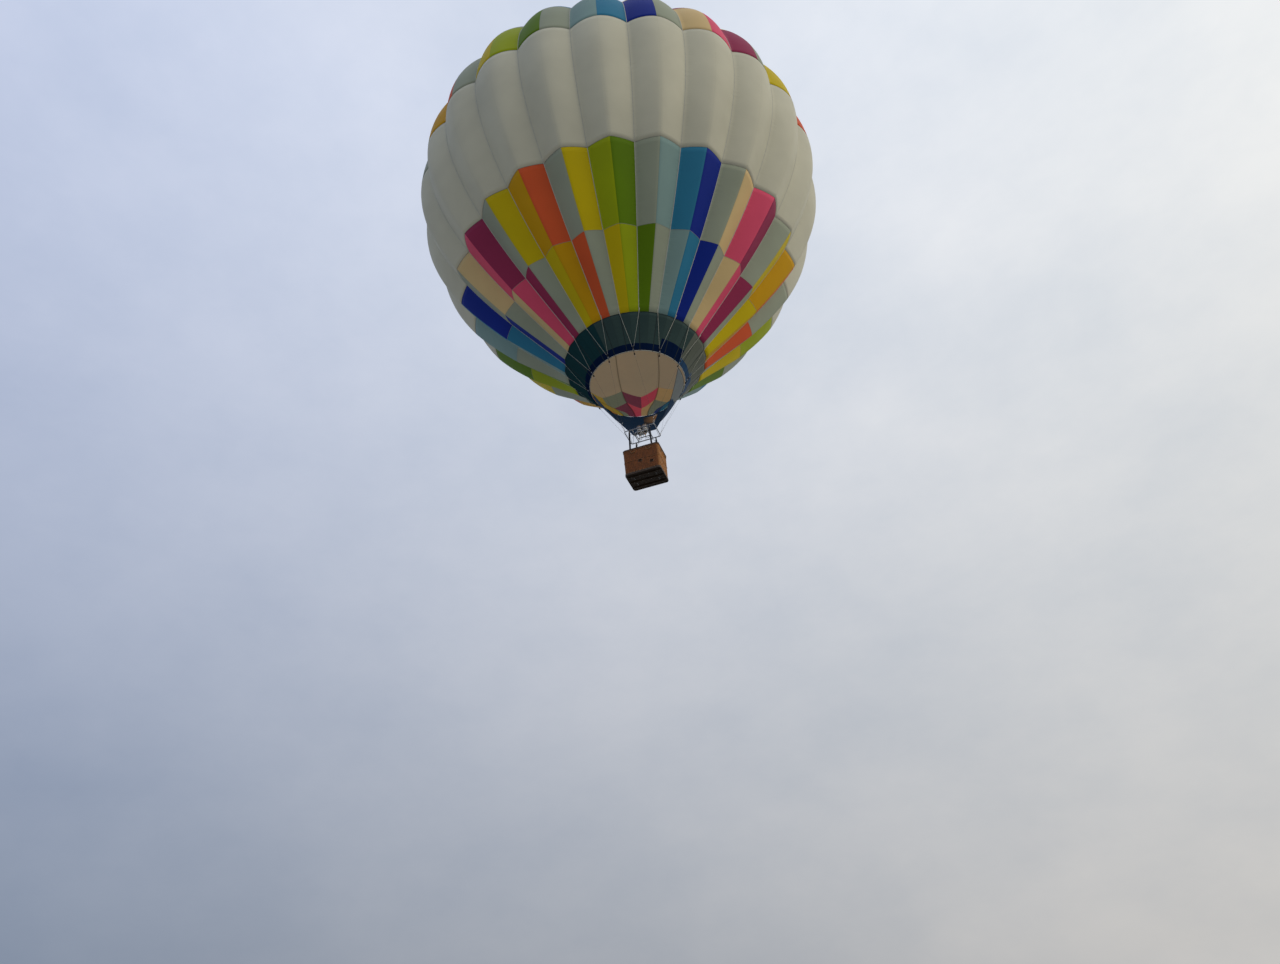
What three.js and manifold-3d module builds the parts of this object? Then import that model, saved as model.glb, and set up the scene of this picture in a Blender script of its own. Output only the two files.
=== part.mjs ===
// A hot air balloon of 24 gores with its scoop, flying wires, burner frame and wicker basket.
// Millimetres, +Z up, -Y is the front. The origin is the centre of the envelope at its equator.

import * as THREE from 'three';
import { mergeVertices } from 'three/addons/utils/BufferGeometryUtils.js';
import Module from 'manifold-3d';

const wasm = await Module();
wasm.setup();

// Driving dimensions
const touchGap = 0.3;
const goreCount = 24;
const pointsPerGore = 4;
const firstTapeAngle = 7.5;
const equatorRadius = 8750;
const crownHeight = 6825;
const crownFullness = 2.3;
const fabric = 10;
const bandGap = 0.6;

// Heights of the seams that run round the envelope
const ventEdge = 6650;
const shoulder = 5000;
const colourSeam = 90;
const lowerWhiteSeam = -5338;
const rowSeam = -7823;
const throatSeam = -10264;
const mouth = -11436;
const lowerBezier = new THREE.CubicBezierCurve(
  new THREE.Vector2(equatorRadius, 0),
  new THREE.Vector2(equatorRadius, -5110),
  new THREE.Vector2(3308, -9214),
  new THREE.Vector2(1899, mouth),
);

// How far the middle of each gore stands out past its tapes: [height, bulge]
const bulges = [
  [mouth, 0],
  [throatSeam, 79],
  [rowSeam, 324],
  [lowerWhiteSeam, 394],
  [colourSeam, 359],
  [shoulder, 250],
  [ventEdge, 60],
];

// Each band of the envelope: [name, lower seam, upper seam, sections between, colour]
const envelopeBands = [
  ['envelope_crown', shoulder, ventEdge, 3, 0xd8d8cc],
  ['envelope_upper_band', colourSeam, shoulder, 3, 0x3f7fb0],
  ['envelope_white_band', lowerWhiteSeam, colourSeam, 3, 0xd8d8cc],
  ['envelope_colour_band', throatSeam, lowerWhiteSeam, 4, 0xb04a80],
  ['throat_band', mouth, throatSeam, 1, 0x3d4a44],
];

// Parachute vent and crown
const ventRadius = 2750;
const ventDrop = 45;
const crownRingRadius = 200;
const crownRingHeight = 6905;
const crownTapeWidth = 30;
const crownTapeThickness = 6;
const crownTapeReach = 2620;
const crownTapeLift = 24;

// Load frame, flying wires and scoop
const frameHeight = -14000;
const frameHalf = { x: 600, y: 400 };
const frameTube = 19;
const frameCorner = 60;
const crossBeamX = 290;
const crossBeamTube = 16;
const vRingRadius = 1990;
const vRingHeight = mouth - 4;
const vRing = { radius: 22, rod: 6 };
const legStart = 25;
const wireRadius = 5;
const karabiner = { halfWidth: 30, halfLength: 50, corner: 28, rod: 5 };
const lug = { side: 15, height: 64, thickness: 10, width: 44, hole: 12, below: 62, above: 22 };
const wireRing = { radius: 16, rod: 5, rise: 4 };
const scoopTop = { radius: 1835, height: mouth - 95, start: 79 };
const scoopFoot = { x: 455, y: 345, height: frameHeight + 350 };
const scoopBillow = { edge: 270, middle: 100 };

// Burner on its gimbal
const tiltPin = 8;
const tiltHole = 9;
const gimbal = { x: 240, y: 190, corner: 40, halfWidth: 12, halfHeight: 15 };
const burnerBlock = { x: 300, y: 90, z: 50 };
const burnerCan = { x: 110, radius: 100, wall: 6, foot: 60, height: 330, boss: 30 };

// Basket and what stands in it
const rimHeight = frameHeight - 1000;
const floorHeight = rimHeight - 1135;
const basketHalf = { x: 700, y: 525 };
const basketCorner = 110;
const wallThickness = 40;
const rimPad = { halfWidth: 38, halfHeight: 32 };
const basketFloor = { top: floorHeight, thickness: 25, inset: 20 };
const hide = { top: floorHeight + 45, bottom: floorHeight - 40, thickness: 12 };
const skid = { length: 1280, width: 60, height: 45, spacing: 330 };
const stepHole = { width: 130, height: 95 };
const pole = {
  radius: 16,
  foot: [430, 415, rimHeight - 150],
  head: [400, 400, frameHeight - 30],
};
const poleCover = { radius: 38, top: frameHeight - 125, bottom: rimHeight - 60 };
const poleSocket = {
  halfWidth: 32,
  inner: 388,
  outer: 500,
  top: rimHeight - 72,
  bottom: rimHeight - 192,
};
const poleSleeve = { radius: 26, bottom: frameHeight - 110 };
const cylinder = { x: 500, y: 325, radius: 130, height: 900 };

// Step holes in the long walls: [x, height] on the front, turned half round for the back
const stepHoles = [
  [-50, rimHeight - 650],
  [390, rimHeight - 795],
];

// The four corners: [name number, side along x, side along y, first V ring angle]
const corners = [
  [1, 1, -1, 15],
  [2, 1, 1, 105],
  [3, -1, 1, 195],
  [4, -1, -1, 285],
];

const radians = THREE.MathUtils.degToRad;

// Solids and joins

function toSolid(geometry) {
  const bare = geometry.clone();
  bare.deleteAttribute('normal');
  bare.deleteAttribute('uv');
  const merged = mergeVertices(bare, 1e-3);
  return new wasm.Manifold(new wasm.Mesh({
    numProp: 3,
    vertProperties: new Float32Array(merged.attributes.position.array),
    triVerts: new Uint32Array(merged.index.array),
  }));
}

function toGeometry(solid) {
  const mesh = solid.getMesh();
  const geometry = new THREE.BufferGeometry();
  geometry.setAttribute('position', new THREE.BufferAttribute(mesh.vertProperties, 3));
  geometry.setIndex(new THREE.BufferAttribute(mesh.triVerts, 1));
  return geometry;
}

function join(pieces, cuts = []) {
  let solid = toSolid(pieces[0]);
  for (const piece of pieces.slice(1)) {
    solid = solid.add(toSolid(piece));
  }
  for (const cut of cuts) {
    solid = solid.subtract(toSolid(cut));
  }
  return toGeometry(solid);
}

// Faces of a grid of points that closes on itself both ways
function closedGrid(rows) {
  const rowCount = rows.length;
  const columnCount = rows[0].length;
  const geometry = new THREE.BufferGeometry();
  geometry.setFromPoints(rows.flat());
  const index = [];
  for (let row = 0; row < rowCount; row += 1) {
    const nextRow = (row + 1) % rowCount;
    for (let column = 0; column < columnCount; column += 1) {
      const nextColumn = (column + 1) % columnCount;
      const a = row * columnCount + column;
      const b = row * columnCount + nextColumn;
      const c = nextRow * columnCount + nextColumn;
      const d = nextRow * columnCount + column;
      index.push(a, b, c, a, c, d);
    }
  }
  geometry.setIndex(index);
  return outward(geometry);
}

function outward(geometry) {
  const position = geometry.attributes.position;
  const index = Array.from(geometry.index.array);
  const corner = [new THREE.Vector3(), new THREE.Vector3(), new THREE.Vector3()];
  let volume = 0;
  for (let face = 0; face < index.length; face += 3) {
    corner.forEach((point, k) => point.fromBufferAttribute(position, index[face + k]));
    volume += corner[0].dot(corner[1].clone().cross(corner[2]));
  }
  geometry.setIndex(volume < 0 ? index.reverse() : index);
  return geometry;
}

// A closed section carried round an upright rounded rectangle: section points are [outward, z]
function hoop(halfX, halfY, corner, section, cornerSteps = 3) {
  const rows = section.map(([grow, z]) => {
    const row = [];
    for (let quarter = 0; quarter < 4; quarter += 1) {
      for (let step = 0; step <= cornerSteps; step += 1) {
        const angle = (quarter + step / cornerSteps) * Math.PI / 2;
        const centreX = (quarter === 0 || quarter === 3 ? 1 : -1) * (halfX - corner);
        const centreY = (quarter < 2 ? 1 : -1) * (halfY - corner);
        const reach = corner + grow;
        row.push(new THREE.Vector3(
          centreX + reach * Math.cos(angle),
          centreY + reach * Math.sin(angle),
          z,
        ));
      }
    }
    return row;
  });
  return closedGrid(rows);
}

function ovalSection(halfWidth, halfHeight, centreHeight, sides = 8) {
  const flat = Math.cos(Math.PI / sides);
  return Array.from({ length: sides }, (_, k) => {
    const angle = (k + 0.5) * 2 * Math.PI / sides;
    return [
      halfWidth * Math.cos(angle) / flat,
      centreHeight + halfHeight * Math.sin(angle) / flat,
    ];
  });
}

function slab(sizeX, sizeY, sizeZ, x, y, z) {
  return new THREE.BoxGeometry(sizeX, sizeY, sizeZ).translate(x, y, z);
}

function turned(points, sides) {
  const profile = points.map(([radius, z]) => new THREE.Vector2(radius, z));
  return new THREE.LatheGeometry(profile, sides).rotateX(Math.PI / 2);
}

function rod(start, end, radius, sides = 8) {
  const from = new THREE.Vector3(...start);
  const to = new THREE.Vector3(...end);
  const along = to.clone().sub(from);
  const geometry = new THREE.CylinderGeometry(radius, radius, along.length(), sides);
  const turn = new THREE.Quaternion().setFromUnitVectors(
    new THREE.Vector3(0, 1, 0),
    along.normalize(),
  );
  geometry.applyQuaternion(turn);
  return geometry.translate(...from.add(to).multiplyScalar(0.5).toArray());
}

// Angle 0 is the front, and it grows towards +X
function around(radius, angle, z) {
  return new THREE.Vector3(
    radius * Math.sin(radians(angle)),
    -radius * Math.cos(radians(angle)),
    z,
  );
}

// Envelope profile: parameter -1 is the mouth, 0 the equator and 1 the top

function profileAt(parameter) {
  if (parameter < 0) {
    return lowerBezier.getPoint(-parameter);
  }
  const angle = parameter * Math.PI / 2;
  return new THREE.Vector2(
    equatorRadius * Math.max(Math.cos(angle), 0) ** (2 / crownFullness),
    crownHeight * Math.sin(angle) ** (2 / crownFullness),
  );
}

function parameterAtHeight(height) {
  let low = -1;
  let high = 0.9999;
  for (let round = 0; round < 40; round += 1) {
    const middle = (low + high) / 2;
    if (profileAt(middle).y < height) {
      low = middle;
    } else {
      high = middle;
    }
  }
  return (low + high) / 2;
}

function profileNormal(parameter) {
  const reach = 0.002;
  const above = profileAt(Math.min(parameter + reach, 0.9999));
  const below = profileAt(Math.max(parameter - reach, -1));
  const tangent = above.sub(below).normalize();
  return new THREE.Vector2(tangent.y, -tangent.x);
}

function bulgeAt(height) {
  const upper = Math.max(1, bulges.findIndex(([level]) => level >= height));
  const [lowLevel, lowBulge] = bulges[upper - 1];
  const [highLevel, highBulge] = bulges[upper];
  const share = (height - lowLevel) / (highLevel - lowLevel);
  return THREE.MathUtils.lerp(lowBulge, highBulge, THREE.MathUtils.clamp(share, 0, 1));
}

function envelopeRow(parameter, lift) {
  const tape = profileAt(parameter);
  const normal = profileNormal(parameter);
  const bulge = bulgeAt(tape.y);
  return Array.from({ length: goreCount * pointsPerGore }, (_, k) => {
    const across = (k % pointsPerGore) / pointsPerGore;
    const stand = bulge * (1 - (2 * across - 1) ** 2) + lift;
    const angle = firstTapeAngle + k * 360 / (goreCount * pointsPerGore);
    return around(tape.x + normal.x * stand, angle, tape.y + normal.y * stand);
  });
}

function envelopeBand(lowerSeam, upperSeam, steps) {
  const halfGap = bandGap / 2;
  const low = parameterAtHeight(lowerSeam + halfGap);
  const high = parameterAtHeight(upperSeam - halfGap);
  const outer = [];
  const inner = [];
  for (let step = 0; step <= steps; step += 1) {
    const parameter = THREE.MathUtils.lerp(low, high, step / steps);
    outer.push(envelopeRow(parameter, 0));
    inner.unshift(envelopeRow(parameter, -fabric));
  }
  return closedGrid([...outer, ...inner]);
}

// The vent panel lies just under the edge of the crown opening
function parachuteVent() {
  const steps = 4;
  const top = [];
  const underside = [];
  for (let step = 0; step <= steps; step += 1) {
    const radius = ventRadius * (1 - step / steps);
    const cosine = (radius / equatorRadius) ** (crownFullness / 2);
    const height = crownHeight * Math.sqrt(1 - cosine ** 2) ** (2 / crownFullness);
    top.push([radius, height - ventDrop]);
    underside.unshift([radius, height - ventDrop - fabric]);
  }
  return turned([...underside, ...top], 36);
}

// Every load tape runs on over the vent to one ring at the very top
function crownTapes() {
  const ring = turned([
    [crownRingRadius + 14, crownRingHeight - 8],
    [crownRingRadius + 14, crownRingHeight + 8],
    [crownRingRadius - 14, crownRingHeight + 8],
    [crownRingRadius - 14, crownRingHeight - 8],
    [crownRingRadius + 14, crownRingHeight - 8],
  ], goreCount);
  const cosine = (crownTapeReach / equatorRadius) ** (crownFullness / 2);
  const surface = crownHeight * Math.sqrt(1 - cosine ** 2) ** (2 / crownFullness);
  const rise = crownRingHeight - surface - crownTapeLift;
  const run = crownTapeReach - crownRingRadius;
  const tapes = Array.from({ length: goreCount }, (_, k) => {
    const tape = slab(crownTapeWidth, Math.hypot(rise, run), crownTapeThickness, 0, 0, 0);
    tape.rotateX(Math.atan2(rise, run));
    tape.translate(0, -(crownTapeReach + crownRingRadius) / 2, crownRingHeight - rise / 2);
    return tape.rotateZ(radians(firstTapeAngle + k * 360 / goreCount));
  });
  return join([ring, ...tapes]);
}

// Scoop: fabric from the rear of the mouth to the rear of the load frame, open at the front
function scoopPoint(across, down, lift) {
  const angle = THREE.MathUtils.lerp(scoopTop.start, 360 - scoopTop.start, across);
  const top = around(scoopTop.radius, angle, scoopTop.height);
  const footX = THREE.MathUtils.lerp(scoopFoot.x, -scoopFoot.x, across);
  const foot = new THREE.Vector3(footX, scoopFoot.y, scoopFoot.height);
  const rearward = new THREE.Vector3(0, 1, 0);
  const away = around(1, angle, 0).lerp(rearward, down).normalize();
  const nearEdge = (2 * across - 1) ** 2;
  const billow = THREE.MathUtils.lerp(scoopBillow.middle, scoopBillow.edge, nearEdge);
  return top.lerp(foot, down)
    .addScaledVector(rearward, billow * Math.sin(Math.PI * down))
    .addScaledVector(away, lift);
}

function scoop() {
  const columns = 20;
  const steps = 6;
  const rows = [];
  for (let column = 0; column <= columns; column += 1) {
    const loop = [];
    for (let step = 0; step <= steps; step += 1) {
      loop.push(scoopPoint(column / columns, step / steps, fabric));
    }
    for (let step = steps; step >= 0; step -= 1) {
      loop.push(scoopPoint(column / columns, step / steps, 0));
    }
    rows.push(loop);
  }
  return cappedLoft(rows);
}

// Loops joined one to the next, with a flat fan over the first and the last
function cappedLoft(loops) {
  const count = loops[0].length;
  const geometry = new THREE.BufferGeometry();
  geometry.setFromPoints(loops.flat());
  const index = [];
  for (let loop = 0; loop < loops.length - 1; loop += 1) {
    for (let k = 0; k < count; k += 1) {
      const a = loop * count + k;
      const b = loop * count + (k + 1) % count;
      index.push(a, b, b + count, a, b + count, a + count);
    }
  }
  const last = (loops.length - 1) * count;
  for (let k = 0; k < count / 2 - 1; k += 1) {
    const across = count - 1 - k;
    index.push(k, across, k + 1, k + 1, across, across - 1);
    index.push(last + k, last + k + 1, last + across);
    index.push(last + k + 1, last + across - 1, last + across);
  }
  geometry.setIndex(index);
  return outward(geometry);
}

// Where a corner's karabiner hangs, and the way its wires pull
function cornerFrame(sideX, sideY, firstAngle) {
  const anchor = new THREE.Vector3(
    sideX * (frameHalf.x - lug.side),
    sideY * (frameHalf.y - lug.side),
    frameHeight + lug.height,
  );
  const pull = around(vRingRadius, firstAngle + 30, vRingHeight).sub(anchor).normalize();
  const across = new THREE.Vector3(0, 0, 1).cross(pull).normalize();
  const out = across.clone().cross(pull);
  const turn = new THREE.Matrix4().makeBasis(across, pull, out);
  return { anchor, pull, turn };
}

function torus(ring, steps, sides) {
  return new THREE.TorusGeometry(ring.radius, ring.rod, sides, steps);
}

// Three V rings with their two legs each, three wires, and the eye that the karabiner holds
function flyingWires(sideX, sideY, firstAngle) {
  const { anchor, pull, turn } = cornerFrame(sideX, sideY, firstAngle);
  const eyeReach = 2 * karabiner.halfLength + wireRing.rise;
  const eye = anchor.clone().addScaledVector(pull, eyeReach);
  const eyeRing = torus(wireRing, 8, 4).rotateY(Math.PI / 2).applyMatrix4(turn);
  const pieces = [eyeRing.translate(...eye.toArray())];
  const wireFoot = eye.clone().addScaledVector(pull, wireRing.radius);
  const throatTop = profileAt(parameterAtHeight(throatSeam));
  const outwardNormal = profileNormal(parameterAtHeight(throatSeam));
  const legTop = {
    radius: throatTop.x + outwardNormal.x * legStart,
    height: throatTop.y + outwardNormal.y * legStart,
  };
  for (const step of [0, 1, 2]) {
    const angle = firstAngle + 30 * step;
    const centre = around(vRingRadius, angle, vRingHeight);
    const between = legTop.radius * Math.cos(radians(firstTapeAngle));
    const up = around(between, angle, legTop.height).sub(centre).normalize();
    const sideways = around(1, angle + 90, 0);
    const face = sideways.clone().cross(up);
    const ring = torus(vRing, 8, 4);
    ring.applyMatrix4(new THREE.Matrix4().makeBasis(sideways, up, face));
    pieces.push(ring.translate(...centre.toArray()));
    const wireTop = centre.clone().addScaledVector(up, -vRing.radius);
    pieces.push(rod(wireTop.toArray(), wireFoot.toArray(), wireRadius, 5));
    for (const side of [-1, 1]) {
      const start = around(legTop.radius, angle + side * firstTapeAngle, legTop.height);
      const way = start.clone().sub(centre).normalize();
      const legFoot = centre.clone().addScaledVector(way, vRing.radius);
      pieces.push(rod(legFoot.toArray(), start.toArray(), wireRadius, 5));
    }
  }
  return join(pieces);
}

function karabinerLink() {
  const section = ovalSection(karabiner.rod, karabiner.rod, 0, 6);
  return hoop(karabiner.halfWidth, karabiner.halfLength, karabiner.corner, section, 3);
}

function polePoint(height, sideX, sideY) {
  const share = (height - pole.foot[2]) / (pole.head[2] - pole.foot[2]);
  return [
    sideX * THREE.MathUtils.lerp(pole.foot[0], pole.head[0], share),
    sideY * THREE.MathUtils.lerp(pole.foot[1], pole.head[1], share),
    height,
  ];
}

// Load frame: a tube hoop, two cross beams with gimbal bearings, pole sleeves and corner lugs
function loadFrame() {
  const tube = ovalSection(frameTube, frameTube, frameHeight);
  const pieces = [hoop(frameHalf.x, frameHalf.y, frameCorner, tube)];
  const cuts = [];
  for (const side of [-1, 1]) {
    const x = side * crossBeamX;
    pieces.push(rod(
      [x, -frameHalf.y, frameHeight],
      [x, frameHalf.y, frameHeight],
      crossBeamTube,
    ));
    pieces.push(slab(36, 56, 56, x, 0, frameHeight));
    cuts.push(rod([x - 30, 0, frameHeight], [x + 30, 0, frameHeight], tiltHole, 16));
  }
  for (const [, sideX, sideY, firstAngle] of corners) {
    const sleeveTop = polePoint(frameHeight, sideX, sideY);
    const sleeveFoot = polePoint(poleSleeve.bottom, sideX, sideY);
    pieces.push(rod(sleeveTop, sleeveFoot, poleSleeve.radius, 12));
    const holeTop = polePoint(pole.head[2] + touchGap, sideX, sideY);
    const holeFoot = polePoint(poleSleeve.bottom - 20, sideX, sideY);
    cuts.push(rod(holeTop, holeFoot, pole.radius + touchGap, 12));
    const { anchor, turn } = cornerFrame(sideX, sideY, firstAngle);
    const length = lug.above + lug.below;
    const plate = slab(lug.thickness, length, lug.width, 0, lug.above - length / 2, 0);
    pieces.push(plate.applyMatrix4(turn).translate(...anchor.toArray()));
    const hole = rod([-lug.width, 0, 0], [lug.width, 0, 0], lug.hole, 12);
    cuts.push(hole.applyMatrix4(turn).translate(...anchor.toArray()));
  }
  return join(pieces, cuts);
}

function gimbalRing() {
  const { x, y, corner, halfWidth, halfHeight } = gimbal;
  const section = [
    [-halfWidth, -halfHeight],
    [halfWidth, -halfHeight],
    [halfWidth, halfHeight],
    [-halfWidth, halfHeight],
  ];
  const pins = [-1, 1].map((side) => {
    const pinEnd = side * (crossBeamX + 16);
    return rod([side * x, 0, 0], [pinEnd, 0, 0], tiltPin, 16);
  });
  const holes = [rod([0, -y - 30, 0], [0, y + 30, 0], tiltHole, 16)];
  return join([hoop(x, y, corner, section), ...pins], holes);
}

// Block with its two tilt pins, and a valve and lever under each burner
function burnerManifold() {
  const pinEnd = gimbal.y + 16;
  const pieces = [
    slab(burnerBlock.x, burnerBlock.y, burnerBlock.z, 0, 0, 0),
    rod([0, -pinEnd, 0], [0, pinEnd, 0], tiltPin, 16),
  ];
  for (const side of [-1, 1]) {
    const x = side * burnerCan.x;
    pieces.push(rod([x, 0, 0], [x, 0, -90], 22, 10));
    pieces.push(rod([x, 0, -78], [x, -130, -92], 9, 8));
  }
  return join(pieces);
}

function burnerCanShell() {
  const { radius, wall, foot, height, boss } = burnerCan;
  const underside = burnerBlock.z / 2 + touchGap;
  return turned([
    [0, underside],
    [boss, underside],
    [boss, foot],
    [radius, foot],
    [radius, foot + height],
    [radius - wall, foot + height],
    [radius - wall, foot + 2 * wall],
    [0, foot + 2 * wall],
  ], 16);
}

function basketWalls() {
  const top = rimHeight - 2 * rimPad.halfHeight - touchGap;
  const bottom = basketFloor.top;
  const taper = basketFloor.inset;
  const shell = hoop(basketHalf.x, basketHalf.y, basketCorner, [
    [-taper, bottom],
    [0, top],
    [-wallThickness, top],
    [-wallThickness - taper, bottom],
  ]);
  const sockets = [];
  const cuts = [];
  for (const [, sideX, sideY] of corners) {
    const { halfWidth, inner, outer, top: blockTop, bottom: blockBottom } = poleSocket;
    sockets.push(slab(
      2 * halfWidth,
      outer - inner,
      blockTop - blockBottom,
      sideX * pole.foot[0],
      sideY * (inner + outer) / 2,
      (blockTop + blockBottom) / 2,
    ));
    const holeFoot = polePoint(pole.foot[2] - touchGap, sideX, sideY);
    const holeTop = polePoint(rimHeight, sideX, sideY);
    cuts.push(rod(holeFoot, holeTop, pole.radius + touchGap, 12));
  }
  for (const [x, z] of stepHoles) {
    for (const side of [-1, 1]) {
      const { width, height } = stepHole;
      cuts.push(slab(width, 4 * wallThickness, height, -side * x, side * basketHalf.y, z));
    }
  }
  return join([shell, ...sockets], cuts);
}

function basketRim() {
  const { halfWidth, halfHeight } = rimPad;
  const section = ovalSection(halfWidth, halfHeight, rimHeight - halfHeight);
  const inset = wallThickness / 2;
  return hoop(
    basketHalf.x - inset,
    basketHalf.y - inset,
    basketCorner - inset,
    section,
  );
}

function roundedSlab(halfX, halfY, corner, thickness) {
  const outline = new THREE.Shape();
  outline.absarc(halfX - corner, halfY - corner, corner, 0, Math.PI / 2);
  outline.absarc(corner - halfX, halfY - corner, corner, Math.PI / 2, Math.PI);
  outline.absarc(corner - halfX, corner - halfY, corner, Math.PI, Math.PI * 1.5);
  outline.absarc(halfX - corner, corner - halfY, corner, Math.PI * 1.5, Math.PI * 2);
  return new THREE.ExtrudeGeometry(outline, {
    depth: thickness,
    bevelEnabled: false,
    curveSegments: 1.5,
  });
}

// Rawhide that wraps the foot of the walls
function basketHide() {
  const inner = touchGap - basketFloor.inset + 1;
  return hoop(basketHalf.x, basketHalf.y, basketCorner, [
    [inner, hide.bottom],
    [inner + hide.thickness, hide.bottom],
    [inner + hide.thickness, hide.top],
    [inner, hide.top],
  ]);
}

// Foot ring, tank and valve guard of one fuel cylinder
function fuelCylinder() {
  const { radius, height } = cylinder;
  return turned([
    [0, 0],
    [radius - 20, 0],
    [radius - 20, 40],
    [radius, 70],
    [radius, height - 180],
    [radius - 30, height - 135],
    [radius - 55, height - 125],
    [radius - 55, height],
    [radius - 62, height],
    [radius - 62, height - 100],
    [22, height - 100],
    [22, height - 30],
    [0, height - 30],
  ], 14);
}

// Scene graph

const balloon = new THREE.Group();
const envelope = new THREE.Group();
const rigging = new THREE.Group();
const burner = new THREE.Group();
burner.position.z = frameHeight;
const basket = new THREE.Group();
balloon.add(envelope, rigging, burner, basket);

function finish(color, roughness, metalness = 0) {
  return new THREE.MeshStandardMaterial({ color, roughness, metalness });
}

function add(group, name, geometry, material) {
  const mesh = new THREE.Mesh(geometry, material);
  mesh.name = name;
  group.add(mesh);
  return mesh;
}

for (const [name, lowerSeam, upperSeam, steps, color] of envelopeBands) {
  add(envelope, name, envelopeBand(lowerSeam, upperSeam, steps), finish(color, 0.7));
}
add(envelope, 'parachute_vent', parachuteVent(), finish(0xd8d8cc, 0.7));
add(envelope, 'crown_tapes', crownTapes(), finish(0xcfcabb, 0.8));

add(rigging, 'scoop', scoop(), finish(0x1b2740, 0.7));
for (const [number, sideX, sideY, firstAngle] of corners) {
  const wires = flyingWires(sideX, sideY, firstAngle);
  add(rigging, `flying_wires_${number}`, wires, finish(0x8a8f94, 0.4, 0.8));
  const { anchor, pull, turn } = cornerFrame(sideX, sideY, firstAngle);
  const link = add(
    rigging,
    `karabiner_${number}`,
    karabinerLink(),
    finish(0xb8bcc0, 0.3, 0.9),
  );
  link.position.copy(anchor).addScaledVector(pull, karabiner.halfLength);
  link.quaternion.setFromRotationMatrix(turn);
}
add(rigging, 'load_frame', loadFrame(), finish(0x9a9ea3, 0.35, 0.9));

add(burner, 'gimbal_ring', gimbalRing(), finish(0x8d9196, 0.35, 0.9));
add(burner, 'burner_manifold', burnerManifold(), finish(0x55585c, 0.4, 0.8));
for (const [number, side] of [[1, 1], [2, -1]]) {
  const can = add(
    burner,
    `burner_can_${number}`,
    burnerCanShell(),
    finish(0xa9adb0, 0.3, 0.9),
  );
  can.position.x = side * burnerCan.x;
}

for (const [number, sideX, sideY] of corners) {
  const foot = polePoint(pole.foot[2], sideX, sideY);
  const head = polePoint(pole.head[2], sideX, sideY);
  const padding = rod(
    polePoint(poleCover.bottom, sideX, sideY),
    polePoint(poleCover.top, sideX, sideY),
    poleCover.radius,
    12,
  );
  const bore = rod(foot, head, pole.radius + touchGap, 12);
  add(basket, `upright_${number}`, rod(foot, head, pole.radius, 12), finish(0xd9d4c4, 0.5));
  add(basket, `upright_cover_${number}`, join([padding], [bore]), finish(0x20242c, 0.8));
}

add(basket, 'basket_walls', basketWalls(), finish(0x7a4a26, 0.8));
add(basket, 'basket_rim', basketRim(), finish(0x3a2118, 0.7));
const floorPanel = add(
  basket,
  'basket_floor',
  roundedSlab(
    basketHalf.x - basketFloor.inset,
    basketHalf.y - basketFloor.inset,
    basketCorner - basketFloor.inset,
    basketFloor.thickness,
  ),
  finish(0x8a6a42, 0.7),
);
floorPanel.position.z = basketFloor.top - touchGap - basketFloor.thickness;
add(basket, 'basket_hide', basketHide(), finish(0x2a1c14, 0.75));
const skidTop = floorPanel.position.z - touchGap;
for (const [number, place] of [[1, -1], [2, 0], [3, 1]]) {
  const runner = add(
    basket,
    `skid_${number}`,
    new THREE.BoxGeometry(skid.length, skid.width, skid.height),
    finish(0x5a4028, 0.8),
  );
  runner.position.set(0, place * skid.spacing, skidTop - skid.height / 2);
}
for (const [number, sideX, sideY] of corners) {
  const tank = add(basket, `fuel_cylinder_${number}`, fuelCylinder(), finish(0xb0b4b8, 0.35, 0.9));
  tank.position.set(sideX * cylinder.x, sideY * cylinder.y, basketFloor.top);
}

export default balloon;
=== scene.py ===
# %% [markdown]
# # A hot air balloon, dressed over its frame
#
# The frame holds the solids of the balloon at their real size: envelope bands, wires, burner and
# basket. This lesson gives each of them the surface that the real one has. Every piece is built
# where the frame says it is, so nothing is fitted by eye afterwards.

# %% Load the frame
import math

import bmesh
import bpy
import numpy as np
from mathutils import Matrix, Vector


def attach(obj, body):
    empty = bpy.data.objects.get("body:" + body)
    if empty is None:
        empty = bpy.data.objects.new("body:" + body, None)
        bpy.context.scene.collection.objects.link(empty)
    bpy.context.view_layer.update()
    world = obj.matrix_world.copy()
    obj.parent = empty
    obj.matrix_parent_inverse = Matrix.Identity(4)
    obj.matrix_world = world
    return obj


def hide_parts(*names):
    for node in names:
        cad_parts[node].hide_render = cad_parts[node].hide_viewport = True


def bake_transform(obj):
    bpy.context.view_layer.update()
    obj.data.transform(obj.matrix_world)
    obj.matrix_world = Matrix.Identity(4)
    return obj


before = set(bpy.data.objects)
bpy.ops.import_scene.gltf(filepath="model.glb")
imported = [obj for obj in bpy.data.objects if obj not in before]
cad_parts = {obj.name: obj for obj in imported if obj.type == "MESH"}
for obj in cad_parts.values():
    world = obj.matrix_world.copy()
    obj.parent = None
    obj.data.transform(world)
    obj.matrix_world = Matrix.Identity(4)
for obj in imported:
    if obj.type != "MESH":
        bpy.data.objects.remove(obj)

ROUND = 2 * np.pi
X, Y, Z = np.eye(3)
scene = bpy.context.scene
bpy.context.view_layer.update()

# %% [markdown]
# ## Camera
#
# The picture was taken by somebody who stood on the ground and looked up. Five numbers place such
# a camera: how far it is from the envelope's centre, how steeply it looks up at it, from which
# side, how much the balloon leans in the picture, and where in the picture the envelope's centre
# falls. They come from matching the outline and the load tapes of the envelope.

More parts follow.
